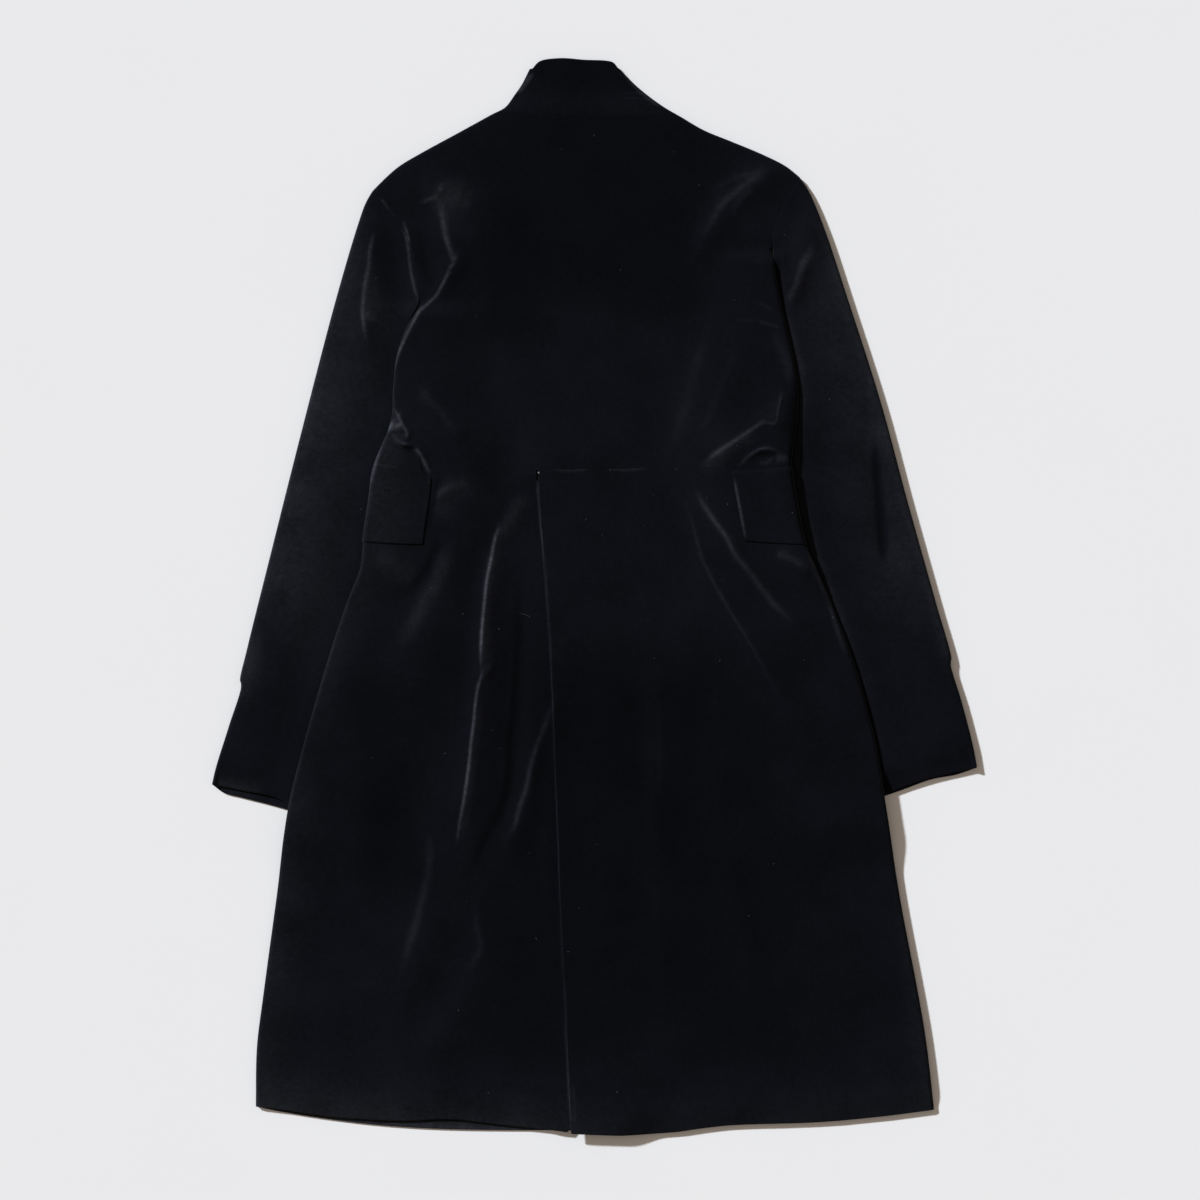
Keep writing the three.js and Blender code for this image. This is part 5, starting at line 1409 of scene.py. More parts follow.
def make_lint(settings):
    chance = np.random.default_rng(settings.seed)
    more = zip(*(chance.uniform(*STREWN[key], settings.specks) for key in "xy"))
    clear = settings.speck_thickness / MM / 2
    places = [(x, y, shown_height(x, y) + clear) for x, y in [*LINT, *more]]
    pale = plain_material("lint_pale", (0.13, 0.13, 0.15), 0.9)
    sizes = {
        "Length": settings.speck_length,
        "Thickness": settings.speck_thickness,
        "Seed": settings.seed,
        "Material": pale,
    }
    grown("lint_specks", places, [], lint_tree(), sizes)
    hair = [(x, y, shown_height(x, y) + clear) for x, y in centripetal(np.array(HAIR, float), steps=4)]
    edges = [(i, i + 1) for i in range(len(hair) - 1)]
    sizes = {"Thickness": settings.hair_thickness, "Material": pale}
    grown("hair", hair, edges, hair_tree(), sizes)


# Settings -------------------------------------------------------------------------------------------


def colour_setting(name, description, default):
    return bpy.props.FloatVectorProperty(
        name=name, description=description, default=default, subtype="COLOR"
    )


def length_setting(name, description, default):
    return bpy.props.FloatProperty(name=name, description=description, default=default, unit="LENGTH")


def angle_setting(name, description, degrees):
    return bpy.props.FloatProperty(
        name=name, description=description, default=math.radians(degrees), subtype="ANGLE"
    )


class CoatSettings(bpy.types.PropertyGroup):
    """The velvet and how finely it is made."""

    across_step: length_setting(
        "Step across", "Distance across the coat between the points of cloth that shows", 1.4 * MM
    )
    down_step: length_setting(
        "Step down", "Distance along the coat between the points of cloth that shows", 3.5 * MM
    )
    fine_step: length_setting(
        "Fine step", "Distance between the points of collar, flaps and side backs", 1.3 * MM
    )
    hidden_step: length_setting(
        "Step underneath", "Distance between the points of cloth that lies underneath", 6 * MM
    )
    body_colour: colour_setting(
        "Body velvet", "Colour of the velvet of bodice and skirt", (0.0035, 0.0038, 0.0059)
    )
    sleeve_colour: colour_setting(
        "Sleeve velvet", "Colour of the velvet of the sleeves, whose pile lies the other way",
        (0.0036, 0.0039, 0.0061),
    )
    trim_colour: colour_setting(
        "Trim velvet", "Colour of the velvet of collar and flaps", (0.0035, 0.0038, 0.0058)
    )
    # Painted shade: the colour that the velvet is mixed towards where the painted light is under 0.
    painted_shade_colour: colour_setting(
        "Painted shade colour", "Colour where the pile leans away from the light", (0.0006, 0.0007, 0.0008)
    )
    # Painted highlight: the colour that is added where the painted light is over 0.
    painted_highlight_colour: colour_setting(
        "Painted highlight colour", "Colour that is added where the pile leans towards the light",
        (0.0098, 0.0103, 0.0121),
    )
    sheen_tint: colour_setting(
        "Sheen tint", "Colour of the light that the pile throws back at a slant", (0.86, 0.91, 1.0)
    )
    sheen: bpy.props.FloatProperty(
        name="Sheen", description="How much light the pile throws back at a slant", default=0.2
    )
    sheen_roughness: bpy.props.FloatProperty(
        name="Sheen roughness", description="How widely that light spreads", default=0.35
    )
    grain_size: length_setting("Grain size", "Size of the tufts that the pile parts into", 1.3 * MM)
    grain: bpy.props.FloatProperty(
        name="Grain", description="How much the pile's lightness varies from tuft to tuft", default=0.3
    )


class SewingSettings(bpy.types.PropertyGroup):
    """The bar tack that holds the vent, and the lint."""

    stitches: bpy.props.IntProperty(
        name="Stitches", description="Number of stitches in the bar tack", default=4
    )
    stitch_length: length_setting("Stitch length", "Length of the tack's stitches", 1.6 * MM)
    thread: length_setting("Thread", "Thickness of the tack's thread", 0.34 * MM)
    specks: bpy.props.IntProperty(
        name="Specks", description="Number of specks of lint beside the larger ones", default=26
    )
    speck_length: length_setting("Speck length", "Length of a speck of lint", 1.5 * MM)
    speck_thickness: length_setting("Speck thickness", "Thickness of a speck of lint", 0.3 * MM)
    hair_thickness: length_setting("Hair thickness", "Thickness of the hair on the skirt", 0.14 * MM)
    seed: bpy.props.IntProperty(name="Seed", description="Seed of the specks' places and turns", default=7)


class StageSettings(bpy.types.PropertyGroup):
    """Floor, light and camera."""

    floor_colour: colour_setting("Floor", "Colour of the floor", (0.815, 0.815, 0.83))
    key_strength: bpy.props.FloatProperty(
        name="Key strength", description="Strength of the light from the upper left", default=5.7
    )
    key_azimuth: angle_setting(
        "Key azimuth", "Direction that the light comes from, clockwise from the collar's end", -50
    )
    key_elevation: angle_setting("Key elevation", "Height of the light over the floor", 26)
    key_size: angle_setting("Key size", "Angle that the light spans, which softens the shadows", 4)
    ambient: bpy.props.FloatProperty(
        name="Ambient", description="Strength of the light from all around", default=0.3
    )
    frame_width: length_setting(
        "Frame width", "Width of what the camera sees, at the coat's middle", 1.2
    )
    lens: bpy.props.FloatProperty(
        name="Lens", description="The camera's focal length in millimetres", default=85, unit="CAMERA"
    )


SETTINGS = {"coat": CoatSettings, "coat_sewing": SewingSettings, "coat_stage": StageSettings}

# Materials ------------------------------------------------------------------------------------------


# How the pile parts: how often against the tufts, how finely, and how much each shows.
PILE = {"tufts": (1, 2, 0.45), "clumps": (0.24, 3, 0.35), "drift": (0.022, 2, 0.45)}
PILE_SPREAD = 6  # how far the grain spreads the pile's lightness
PILE_LEAST = 0.15  # the least of that lightness
PAINTED_HIGHLIGHT_SPREAD = 1.2  # how much further the grain spreads the painted highlights
PAINTED_HIGHLIGHT_LEAST = 0.3


def velvet_group():
    """Shader group of velvet pile: the colour with its grain and its painted light and shade, and the height
    of its tufts.
    """
    name = "velvet_pile"
    if name in bpy.data.node_groups:
        return bpy.data.node_groups[name]
    colours = dict.fromkeys(("Colour", "Painted Shade", "Painted Highlight"), "Color")
    values = dict.fromkeys(("Nap and Painted Light", "Tufts per Metre", "Grain"), "Float")
    results = {"Colour": "Color", "Height": "Float"}
    group, entry, leave = new_tree(name, "ShaderNodeTree", {**colours, **values}, results)
    given = entry.outputs
    place = node(group, "ShaderNodeTexCoord").outputs["Object"]

    def noise(often, detail):
        scale = maths(group, "MULTIPLY", given["Tufts per Metre"], often)
        made = node(group, "ShaderNodeTexNoise", Vector=place, Scale=scale, Detail=detail, Roughness=0.6)
        return made.outputs["Fac"]

    def vector_maths(operation, first, second, target):
        made = node(group, "ShaderNodeVectorMath")
        made.operation = operation
        group.links.new(first, made.inputs[0])
        group.links.new(second, made.inputs[target])
        return made.outputs[0]

    def spread_from_one(spread, share, least):
        return maths(group, "MAXIMUM", maths(group, "MULTIPLY_ADD", spread, share, 1), least)

    parted = {key: noise(often, detail) for key, (often, detail, _) in PILE.items()}
    mixed = -sum(weight for _, _, weight in PILE.values()) / 2
    for key, (_, _, weight) in PILE.items():
        mixed = maths(group, "MULTIPLY_ADD", parted[key], weight, mixed)
    spread = maths(group, "MULTIPLY", mixed, maths(group, "MULTIPLY", given["Grain"], PILE_SPREAD))
    # Painted shade: where the painted light is under 0, the colour is mixed towards the painted shade colour.
    painted_shade_mix = node(group, "ShaderNodeMix")
    painted_shade_mix.data_type = "RGBA"
    painted_shade_share = maths(group, "MAXIMUM", maths(group, "MULTIPLY", given["Nap and Painted Light"], -1), 0)
    fill(group, painted_shade_mix.inputs["Factor"], maths(group, "MINIMUM", painted_shade_share, 1))
    fill(group, painted_shade_mix.inputs["A"], given["Colour"])
    fill(group, painted_shade_mix.inputs["B"], given["Painted Shade"])
    # Painted highlight: where it is over 0, the painted highlight colour is added, spread by the grain.
    towards = maths(group, "MAXIMUM", given["Nap and Painted Light"], 0)
    painted_highlight_share = maths(group, "MULTIPLY", towards, spread_from_one(spread, PAINTED_HIGHLIGHT_SPREAD, PAINTED_HIGHLIGHT_LEAST))
    painted_highlight = vector_maths("SCALE", given["Painted Highlight"], painted_highlight_share, "Scale")
    summed = vector_maths("ADD", painted_shade_mix.outputs["Result"], painted_highlight, 1)
    shown = vector_maths("SCALE", summed, spread_from_one(spread, 1, PILE_LEAST), "Scale")
    group.links.new(shown, leave.inputs["Colour"])
    height = maths(group, "ADD", parted["tufts"], parted["clumps"])
    group.links.new(height, leave.inputs["Height"])
    return group


def velvet(name, colour):
    """Black velvet with a soft sheen at a slant, whose colour carries the painted light and shade of its
    cloth.
    """
    settings = bpy.context.scene.coat
    material = bpy.data.materials.get(name)
    if material:
        return material
    material = bpy.data.materials.new(name)
    material.use_nodes = True
    nodes, links = material.node_tree.nodes, material.node_tree.links
    shader = nodes["Principled BSDF"]
    pile = nodes.new("ShaderNodeGroup")
    pile.node_tree = velvet_group()
    pile.inputs["Colour"].default_value = (*colour, 1)
    pile.inputs["Painted Shade"].default_value = (*settings.painted_shade_colour, 1)
    pile.inputs["Painted Highlight"].default_value = (*settings.painted_highlight_colour, 1)
    pile.inputs["Tufts per Metre"].default_value = 1 / settings.grain_size
    pile.inputs["Grain"].default_value = settings.grain
    # The painted light and shade on the cloth, read into the colour.
    nap_and_painted_light = nodes.new("ShaderNodeAttribute")
    nap_and_painted_light.attribute_name = NAP_AND_PAINTED_LIGHT
    links.new(nap_and_painted_light.outputs["Fac"], pile.inputs["Nap and Painted Light"])
    links.new(pile.outputs["Colour"], shader.inputs["Base Color"])
    bump = nodes.new("ShaderNodeBump")
    bump.inputs["Strength"].default_value = 0.35
    bump.inputs["Distance"].default_value = 0.25 * MM
    links.new(pile.outputs["Height"], bump.inputs["Height"])
    links.new(bump.outputs["Normal"], shader.inputs["Normal"])
    shader.inputs["Roughness"].default_value = 0.9
    shader.inputs["Specular IOR Level"].default_value = 0.02
    shader.inputs["Sheen Weight"].default_value = settings.sheen
    shader.inputs["Sheen Roughness"].default_value = settings.sheen_roughness
    shader.inputs["Sheen Tint"].default_value = (*settings.sheen_tint, 1)
    return material


def body_velvet():
    return velvet("velvet_body", bpy.context.scene.coat.body_colour)


def sleeve_velvet():
    return velvet("velvet_sleeve", bpy.context.scene.coat.sleeve_colour)


def trim_velvet():
    return velvet("velvet_trim", bpy.context.scene.coat.trim_colour)


def plain_material(name, colour, roughness):
    """A matt material with a slight unevenness of tone."""
    material = bpy.data.materials.get(name)
    if material:
        return material
    material = bpy.data.materials.new(name)
    material.use_nodes = True
    nodes, links = material.node_tree.nodes, material.node_tree.links
    shader = nodes["Principled BSDF"]
    noise = nodes.new("ShaderNodeTexNoise")
    noise.inputs["Scale"].default_value = 4
    noise.inputs["Detail"].default_value = 2
    links.new(nodes.new("ShaderNodeTexCoord").outputs["Object"], noise.inputs["Vector"])
    tone = nodes.new("ShaderNodeMix")
    tone.data_type = "RGBA"
    tone.inputs["A"].default_value = (*[0.992 * one for one in colour], 1)
    tone.inputs["B"].default_value = (*[min(1, 1.008 * one) for one in colour], 1)
    links.new(noise.outputs["Fac"], tone.inputs["Factor"])
    links.new(tone.outputs["Result"], shader.inputs["Base Color"])
    shader.inputs["Roughness"].default_value = roughness
    shader.inputs["Specular IOR Level"].default_value = 0.1
    return material


# Pieces ---------------------------------------------------------------------------------------------

# Steps between the corners of the lines that pieces share: the finer grids keep their rows there.
STEPS = {"upper_armhole": 3, "lower_armhole": 5, "side": 8, "skirt": 18}
ACROSS = {"back_shoulder": 7, "neck": 9, "front_shoulder": 3, "neckline": 5}
SEAM_STEPS = STEPS["lower_armhole"] + STEPS["side"]

# How a piece ends at a border: which lines of points run beside it, and how far it stands off a seam.
FOLDED = ("fold", 0)
TURNED = ("turned", 0)
PLAIN = ("plain", 0)
SEWN = ("seam", JOIN)
PRESSED = ("pressed", JOIN)


def from_left(side, outer, inner):
    """What lies outside and inside on one side of the coat, in order from the left."""
    return (outer, inner) if side == "left" else (inner, outer)


def run_right(side, inwards):
    """A line that runs inwards from one side of the coat, so that it runs to the right."""
    return inwards if side == "left" else backwards(inwards)


def borders(side, outer, inner, top, bottom):
    """How a piece ends all round, from its borders outside and inside on one side of the coat."""
    return dict(zip(("left", "right", "top", "bottom"), (*from_left(side, outer, inner), top, bottom)))


def upper_armhole(side):
    return part(armhole[side], 0, SEAM_START[side]), STEPS["upper_armhole"]


def lower_armhole(side):
    return part(armhole[side], SEAM_START[side] + BLUNT, 1), STEPS["lower_armhole"]


def bodice_side(side):
    return side_edge(side, underarm[side], waist_corner[side][1]), STEPS["side"]


def skirt_side(side):
    return side_edge(side, waist_corner[side][1], hem_corner[side][1], skirt_spacing), STEPS["skirt"]


def skirt_spacing(share):
    return share * (0.6 + 0.4 * share)


def read_line(reader, start, end):
    """A stretch of a seam or hem that is read from its table, between two places across."""

    def place(share):
        x = start + (end - start) * np.asarray(share, float)
        return np.stack([x, reader(x)], axis=-1)

    return place


def spread(length, step, start="plain", end="plain"):
    """Shares of a length in mm, a step apart, closer together at its borders."""
    return line_shares(length, max(2, round(length / step)), LINES[start], LINES[end])


def add_knots(shares, knots):
    """Moves the nearest shares onto the given ones, so that corners keep their points."""
    moved = shares.copy()
    for knot in knots:
        moved[np.abs(moved - knot).argmin()] = knot
    return moved


def make_bodice(settings):
    across, down, fine = (one / MM for one in (settings.across_step, settings.down_step, settings.fine_step))
    neck = straight(shoulder["left"](1.0), shoulder["right"](1.0))
    seam_x = {side: SIDE_BACK[side]["x"][-1] for side in SIDES}
    rows = STEPS["upper_armhole"] + SEAM_STEPS
    centre = patch(
        chained(upper_armhole("left"), (side_back["left"], SEAM_STEPS)),
        chained(upper_armhole("right"), (side_back["right"], SEAM_STEPS)),
        chained(
            (shoulder["left"], ACROSS["back_shoulder"]),
            (neck, ACROSS["neck"]),
            (backwards(shoulder["right"]), ACROSS["back_shoulder"]),
        ),
        read_line(waist_at, seam_x["left"], seam_x["right"]),
    )
    length = SHOULDER["left"]["y"][-1] - VENT["y"][0]
    v = add_knots(spread(length, down, "fold", "seam"), [STEPS["upper_armhole"] / rows])
    cloth_piece(
        "bodice_centre_back", centre, v, round(BODICE_WIDTH / across),
        borders("left", PRESSED, PRESSED, SEWN, SEWN),
        bodice_back, body_velvet(),
    )
    for side in SIDES:
        outer = chained(lower_armhole(side), bodice_side(side))
        blunt = part(armhole[side], SEAM_START[side] + BLUNT, SEAM_START[side])
        waist = read_line(waist_at, *from_left(side, waist_corner[side][0], seam_x[side]))
        plan = patch(*from_left(side, outer, side_back[side]), run_right(side, blunt), waist)
        length = underarm[side] - WAIST["y"][0] + ARMHOLE_LENGTH
        shares = spread(length, fine * SIDE_BACK_STRETCH, "seam", "seam")
        v = add_knots(shares, [STEPS["lower_armhole"] / SEAM_STEPS])
        cloth_piece(
            f"bodice_side_back_{side}", plan, v, round(SIDE_BACK_WIDTH / fine),
            borders(side, FOLDED, PRESSED, SEWN, SEWN),
            bodice_back, body_velvet(),
        )


def make_back_skirt(settings):
    columns = round(SKIRT_WIDTH / (settings.across_step / MM))
    vent_end = VENT["x"][-1], VENT["y"][-1]
    underlap = VENT["x"][0] + LAP, vent_end[0] + LAP

    def left_hem_at(x):
        return hem_at(x) + UNDERLAP_SHORT * smooth(-UNDERLAP_STEP, 0, x - vent_end[0])

    def vent_line(offset, start, end):
        def place(share):
            y = start + (end - start) * skirt_spacing(np.asarray(share, float))
            return np.stack([vent_at(y) + offset, y], axis=-1)

        return place

    v = spread(SKIRT_LENGTH, settings.down_step / MM, "seam", "turned")
    left = patch(
        skirt_side("left")[0],
        vent_line(LAP, waist_at(underlap[0]), left_hem_at(underlap[1])),
        read_line(waist_at, waist_corner["left"][0], underlap[0]),
        read_line(left_hem_at, hem_corner["left"][0], underlap[1]),
    )
    right = patch(
        vent_line(0, waist_at(VENT["x"][0]), hem_at(vent_end[0])),
        skirt_side("right")[0],
        read_line(waist_at, VENT["x"][0], waist_corner["right"][0]),
        read_line(hem_at, vent_end[0], hem_corner["right"][0]),
    )
    cloth_piece(
        "skirt_back_left", left, v, columns, borders("left", FOLDED, PLAIN, SEWN, TURNED),
        left_skirt_back, body_velvet(),
    )
    cloth_piece(
        "skirt_back_right", right, v, columns, borders("right", FOLDED, TURNED, SEWN, TURNED),
        right_skirt_back, body_velvet(),
    )


def make_fronts(settings):
    step = settings.hidden_step / MM
    knots = np.cumsum([STEPS[key] for key in ("upper_armhole", "lower_armhole", "side")])
    v = add_knots(spread(FRONT_LENGTH, step, "fold", "turned"), knots / sum(STEPS.values()))
    for side in SIDES:
        outer = chained(upper_armhole(side), lower_armhole(side), bodice_side(side), skirt_side(side))
        neck_x, neck_y = NECKLINE[side]["x"][-1], NECKLINE[side]["y"][-1]
        centre = straight((neck_x, neck_y), (neck_x, float(front_hem_at(neck_x))))
        top = chained((shoulder[side], ACROSS["front_shoulder"]), (neckline[side], ACROSS["neckline"]))
        bottom = read_line(front_hem_at, hem_corner[side][0], neck_x)
        cloth_piece(
            f"front_{side}",
            patch(*from_left(side, outer, centre), run_right(side, top), run_right(side, bottom)),
            v, round(FRONT_WIDTH / step), borders(side, FOLDED, PLAIN, ("fold", JOIN), TURNED),
            front_face, body_velvet(),
        )


SLEEVE_PIECES = (("back", "backCuff", 1), ("front", "frontCuff", -1))


def make_sleeves(settings):
    for side in SIDES:
        outer = curve(SLEEVE[side]["outer"])
        edge = curve(SLEEVE[side]["inner"])

        def inner(share, edge=edge):
            return edge(np.asarray(share, float) ** FAN)

        for name, cuff, up in SLEEVE_PIECES:
            shown = settings.across_step, settings.down_step
            across, down = (one / MM for one in (shown if up > 0 else (settings.hidden_step,) * 2))
            plan = patch(
                *from_left(side, outer, inner),
                run_right(side, armhole[side]),
                run_right(side, curve(SLEEVE[side][cuff])),
            )
            cloth_piece(
                f"sleeve_{side}_{name}", plan, spread(SLEEVE_LENGTH, down, "seam", "turned"),
                round(SLEEVE_WIDTH / across), borders(side, FOLDED, FOLDED, ("seam", SLEEVE_JOIN), TURNED),
                sleeve_face(side, up), sleeve_velvet(),
            )


def make_collar(settings):
    radius = COLLAR_STACK / 2
    outline = {side: curve(COLLAR_FOLD[side]) for side in SIDES}

    def fold_axis(side):
        return lambda share: outline[side](share) + np.array([INWARD[side] * radius, 0])

    axis = {side: fold_axis(side) for side in SIDES}
    top_rows = {
        key: np.concatenate([[axis["left"](1.0)[k]], COLLAR_TOP["back"][key][1:-1], [axis["right"](1.0)[k]]])
        for k, key in enumerate("xy")
    }
    back = patch(
        axis["left"], axis["right"], straight(axis["left"](0.0), axis["right"](0.0)), curve(top_rows)
    )
    v = spread(COLLAR_HEIGHT, settings.fine_step / MM, "seam", "turned")[:, None]
    across = round(COLLAR_WIDTH / (settings.across_step / MM))

    def half(side):
        ends = [(NECKLINE[side][key][-1], COLLAR_TOP[side][key][-1]) for key in "xy"]
        front = patch(
            axis[side],
            straight([one[0] for one in ends], [one[1] for one in ends]),
            neckline[side],
            curve(COLLAR_TOP[side]),
        )
        shares = 1 - line_shares(COLLAR_END, across // 2, TURNED_LINES, PLAIN_LINES)[:-1]
        u = np.broadcast_to(shares, (len(v), len(shares)))
        flat = front(u, np.broadcast_to(v, u.shape))
        points = np.concatenate([flat, np.zeros(u.shape + (1,))], axis=-1)
        normals = np.broadcast_to(np.array([0, 0, -1.0]), points.shape)
        angle = math.pi * (np.linspace(0, 1, COLLAR_ROLL + 1) - 0.5)
        round_normals = np.stack([-INWARD[side] * np.cos(angle), 0 * angle, np.sin(angle)], axis=-1)
        round_normals = np.broadcast_to(round_normals, (len(v), len(angle), 3))
        centre = np.concatenate([axis[side](v[:, 0]), np.full((len(v), 1), radius)], axis=-1)
        roll = centre[:, None] + round_normals * radius
        return np.concatenate([points, roll], axis=1), np.concatenate([normals, round_normals], axis=1)

    u = np.broadcast_to(np.linspace(0, 1, across + 1)[1:-1], (len(v), across - 1))
    flat = back(u, np.broadcast_to(v, u.shape))
    height = COLLAR_STACK + fold_grid(collar_folds, flat)
    middle = np.concatenate([flat, height[..., None]], axis=-1)
    up = np.broadcast_to(np.array([0, 0, 1.0]), middle.shape)
    (left, left_normals), (right, right_normals) = half("left"), half("right")
    points = np.concatenate([left, middle, right[:, ::-1]], axis=1)
    normals = np.concatenate([left_normals, up, right_normals[:, ::-1]], axis=1)
    towards = (points[1] - points[0]) * np.array([1, 1, 0])
    points[0] += SEAM * towards / np.linalg.norm(towards, axis=-1, keepdims=True)
    outer, inner = wall_faces(points, normals, ("bottom", "left", "right"), {"top": SEAM_DIP})
    # Painted light and shade of the collar.
    nap_and_painted_light = fold_grid(collar_nap_and_painted_light, points)
    cloth_object("collar", outer, inner, nap_and_painted_light, trim_velvet())


def round_the_side(side, distance, y, out):
    """Points off the body's outer face, at distances along the cloth from its folded side edge: over
    the back where the distance is positive, and under the front where it is negative."""
    edge = edge_at[side](y)
    angle = np.clip(distance / EDGE_RADIUS, -math.pi / 2, math.pi / 2)
    normal = np.stack([-INWARD[side] * np.cos(angle), 0 * angle, np.sin(angle)], axis=-1)
    flat_x, flat_y = edge.ravel(), y.ravel()
    middle = lift(flat_x, flat_y) + body_stack(flat_x, flat_y) / 2
    centre = np.stack([edge + INWARD[side] * EDGE_RADIUS, y, middle.reshape(y.shape)], axis=-1)
    points = centre + normal * (EDGE_RADIUS + out)[..., None]
    x = edge + INWARD[side] * (EDGE_RADIUS + np.abs(distance) - EDGE_QUARTER)
    on_back, on_front = distance >= EDGE_QUARTER, distance <= -EDGE_QUARTER
    for face, here in ((back_faces[side], on_back), (front_face, on_front)):
        z = height_of(face, x[here], y[here]) + face["up"] * out[here]
        points[here] = np.stack([x[here], y[here], z], axis=-1)
    return points, normal


def make_flaps(settings):
    step = settings.fine_step / MM
    flat = FLAP_OVER - EDGE_QUARTER
    over = FLAP_OVER - flat * line_shares(flat, round(FLAP_OVER / step), TURNED_LINES, PLAIN_LINES)
    roll = np.linspace(EDGE_QUARTER, -EDGE_QUARTER, FLAP_ROLL + 1)[1:-1]
    under = np.linspace(-EDGE_QUARTER, -FLAP_UNDER, round(FLAP_UNDER / step / 2))
    across = np.concatenate([over, roll, under])
    on_back = np.clip(across / FLAP_OVER, 0, 1)
    for side in SIDES:
        drop = FLAP_DROP[side]
        v = spread(drop["inner"], step, "seam", "turned")[:, None]
        top = waist_at(waist_corner[side][0] + INWARD[side] * np.maximum(across, 0)) - WAIST_GAP
        pull = reading(FLAP_PULL, "distance", "rise")(across) if side == "left" else 0
        y = top + pull - v * (pull + drop["outer"] + (drop["inner"] - drop["outer"]) * on_back)
        distance = np.broadcast_to(across, y.shape)
        out = FLAP_REST + FLAP_WALL + FLAP_LIFT * smooth(*FLAP_LOWER, v) * smooth(0, FLAP_OVER, distance)
        points, normals = round_the_side(side, distance, y, out)
        depth, reach = FLAP_TUCK
        sunk = depth * (1 - np.clip(from_border(points, "top") / reach, 0, 1)) ** 2
        points = points - normals * sunk[..., None]
        outer, inner = wall_faces(points, normals, ("bottom", "left"), {}, FLAP_WALL)
        # Painted light and shade of the body round the flaps, with the flaps' own painted highlights.
        nap_and_painted_light = fold_grid(body_nap_and_painted_light + flap_nap_and_painted_light, points)
        cloth_object(f"flap_{side}", outer, inner, nap_and_painted_light, trim_velvet())


# Operators ------------------------------------------------------------------------------------------


class COAT_OT_bodice(bpy.types.Operator):
    """Makes the centre back and the two side backs"""

    bl_idname = "coat.bodice"
    bl_label = "Bodice back"

    def execute(self, context):
        make_bodice(context.scene.coat)
        return {"FINISHED"}


class COAT_OT_skirt(bpy.types.Operator):
    """Makes the two panels of the back skirt, the right one over the left"""

    bl_idname = "coat.skirt"
    bl_label = "Back skirt"

    def execute(self, context):
        make_back_skirt(context.scene.coat)
        return {"FINISHED"}


class COAT_OT_fronts(bpy.types.Operator):
    """Makes the two fronts that lie underneath"""

    bl_idname = "coat.fronts"
    bl_label = "Fronts"

    def execute(self, context):
        make_fronts(context.scene.coat)
        return {"FINISHED"}


class COAT_OT_sleeves(bpy.types.Operator):
    """Makes the upper and lower halves of both sleeves"""

    bl_idname = "coat.sleeves"
    bl_label = "Sleeves"

    def execute(self, context):
        make_sleeves(context.scene.coat)
        return {"FINISHED"}


class COAT_OT_collar(bpy.types.Operator):
    """Makes the stand collar, folded round to the front at its ends"""

    bl_idname = "coat.collar"
    bl_label = "Collar"

    def execute(self, context):
        make_collar(context.scene.coat)
        return {"FINISHED"}


class COAT_OT_flaps(bpy.types.Operator):
    """Makes the two flaps that hang from the waist seam"""

    bl_idname = "coat.flaps"
    bl_label = "Flaps"

    def execute(self, context):
        make_flaps(context.scene.coat)
        return {"FINISHED"}


class COAT_OT_tack(bpy.types.Operator):
    """Sews the bar tack at the top of the vent"""

    bl_idname = "coat.tack"
    bl_label = "Bar tack"

    def execute(self, context):
        make_tack(context.scene.coat_sewing)
        return {"FINISHED"}


class COAT_OT_lint(bpy.types.Operator):
    """Strews specks of lint and one hair over the velvet"""

    bl_idname = "coat.lint"
    bl_label = "Lint"

    def execute(self, context):
        make_lint(context.scene.coat_sewing)
        return {"FINISHED"}


def add_floor(settings):
    mesh = bpy.data.meshes.new("floor")
    corners = ((-1, -1), (1, -1), (1, 1), (-1, 1))
    mesh.from_pydata([(x * FLOOR_REACH, y * FLOOR_REACH, 0) for x, y in corners], [], [(0, 1, 2, 3)])
    floor = bpy.data.objects.new("floor", mesh)
    bpy.context.collection.objects.link(floor)
    mesh.materials.append(plain_material("floor_pale", settings.floor_colour, 0.9))


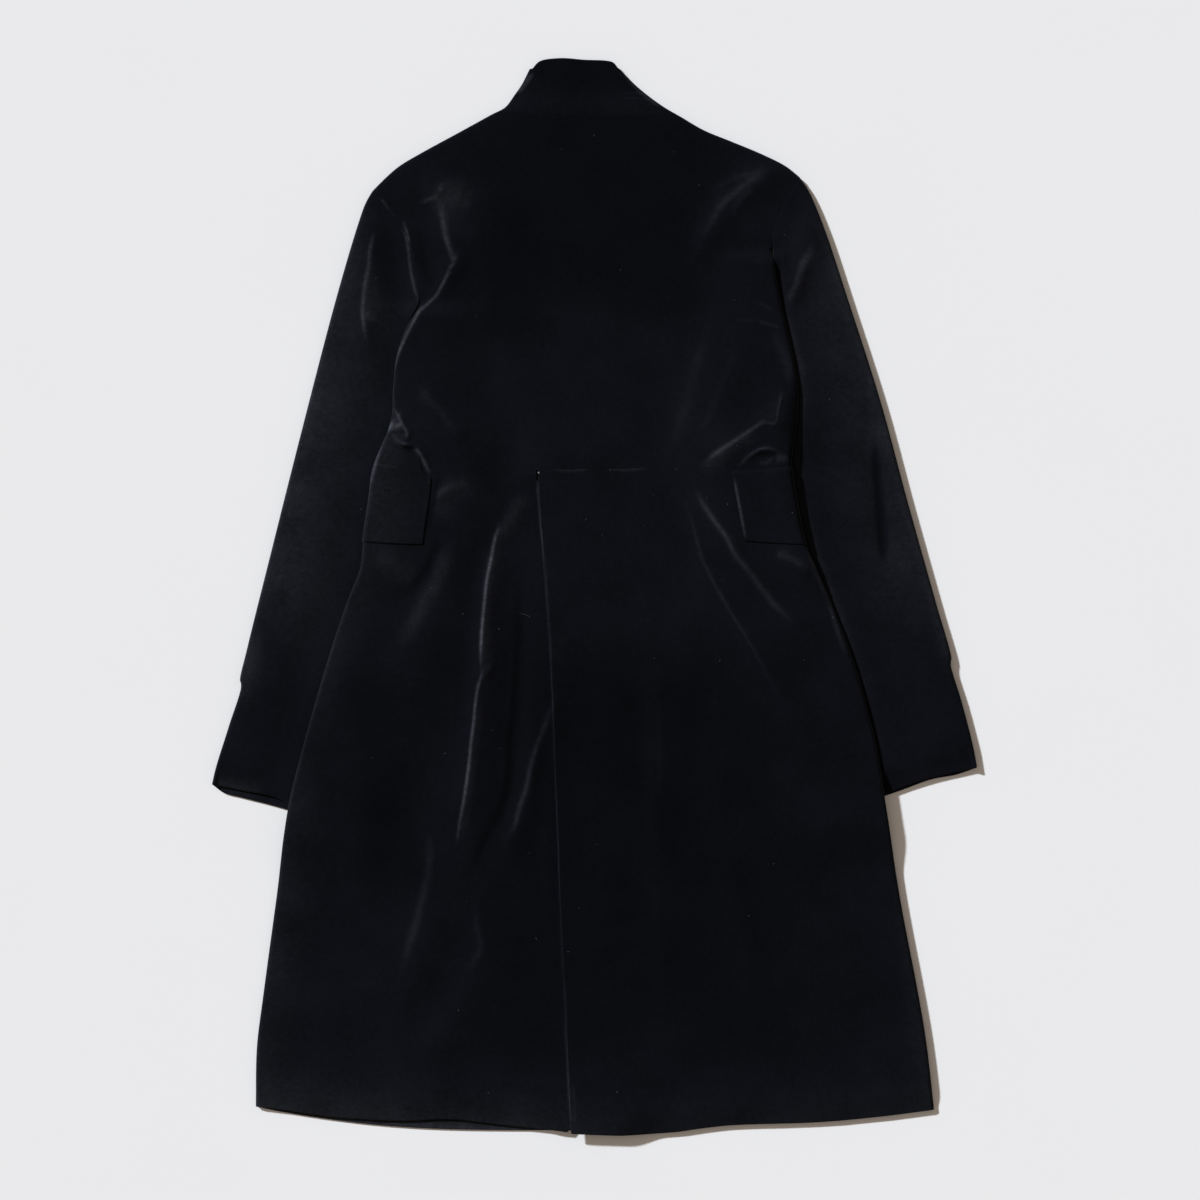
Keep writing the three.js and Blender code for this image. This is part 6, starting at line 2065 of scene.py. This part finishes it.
def add_light(settings):
    sun = bpy.data.lights.new("key", "SUN")
    sun.energy = settings.key_strength
    sun.angle = settings.key_size
    sun.color = KEY_TINT
    lamp = bpy.data.objects.new("key", sun)
    bpy.context.collection.objects.link(lamp)
    level = math.cos(settings.key_elevation)
    to_light = Vector((
        math.sin(settings.key_azimuth) * level,
        math.cos(settings.key_azimuth) * level,
        math.sin(settings.key_elevation),
    ))
    lamp.rotation_euler = to_light.to_track_quat("Z", "Y").to_euler()
    world = bpy.data.worlds.new("studio")
    bpy.context.scene.world = world
    world.use_nodes = True
    background = world.node_tree.nodes["Background"]
    background.inputs["Color"].default_value = (*AMBIENT_TINT, 1)
    background.inputs["Strength"].default_value = settings.ambient


def add_camera(settings):
    data = bpy.data.cameras.new("camera")
    data.lens = settings.lens
    camera = bpy.data.objects.new("camera", data)
    bpy.context.collection.objects.link(camera)
    distance = settings.frame_width * settings.lens / data.sensor_width
    middle = (CAD_BOX[0][2] + CAD_BOX[1][2]) / 2
    camera.location = (CAMERA_X, CAMERA_Y, middle + distance)
    bpy.context.scene.camera = camera


class COAT_OT_stage(bpy.types.Operator):
    """Adds the floor, the light and the camera"""

    bl_idname = "coat.stage"
    bl_label = "Stage"

    def execute(self, context):
        settings = context.scene.coat_stage
        add_floor(settings)
        add_light(settings)
        add_camera(settings)
        context.scene.view_settings.view_transform = "Standard"
        return {"FINISHED"}


OPERATORS = (
    COAT_OT_stage,
    COAT_OT_bodice,
    COAT_OT_skirt,
    COAT_OT_fronts,
    COAT_OT_sleeves,
    COAT_OT_collar,
    COAT_OT_flaps,
    COAT_OT_tack,
    COAT_OT_lint,
)


class COAT_PT_panel(bpy.types.Panel):
    """Lists the coat's pieces and settings"""

    bl_idname = "COAT_PT_panel"
    bl_label = "Velvet coat"
    bl_space_type = "VIEW_3D"
    bl_region_type = "UI"
    bl_category = "Coat"

    def draw(self, context):
        for operator in OPERATORS:
            self.layout.operator(operator.bl_idname)
        for name, settings in SETTINGS.items():
            box = self.layout.box()
            for field in settings.__annotations__:
                box.prop(getattr(context.scene, name), field)


CLASSES = (*SETTINGS.values(), *OPERATORS, COAT_PT_panel)


def register():
    for one in CLASSES:
        bpy.utils.register_class(one)
    for name, settings in SETTINGS.items():
        setattr(bpy.types.Scene, name, bpy.props.PointerProperty(type=settings))


def unregister():
    for name in SETTINGS:
        delattr(bpy.types.Scene, name)
    for one in reversed(CLASSES):
        bpy.utils.unregister_class(one)


def main():
    register()
    for operator in OPERATORS:
        group, name = operator.bl_idname.split(".")
        getattr(getattr(bpy.ops, group), name)()


if __name__ == "__main__":
    main()
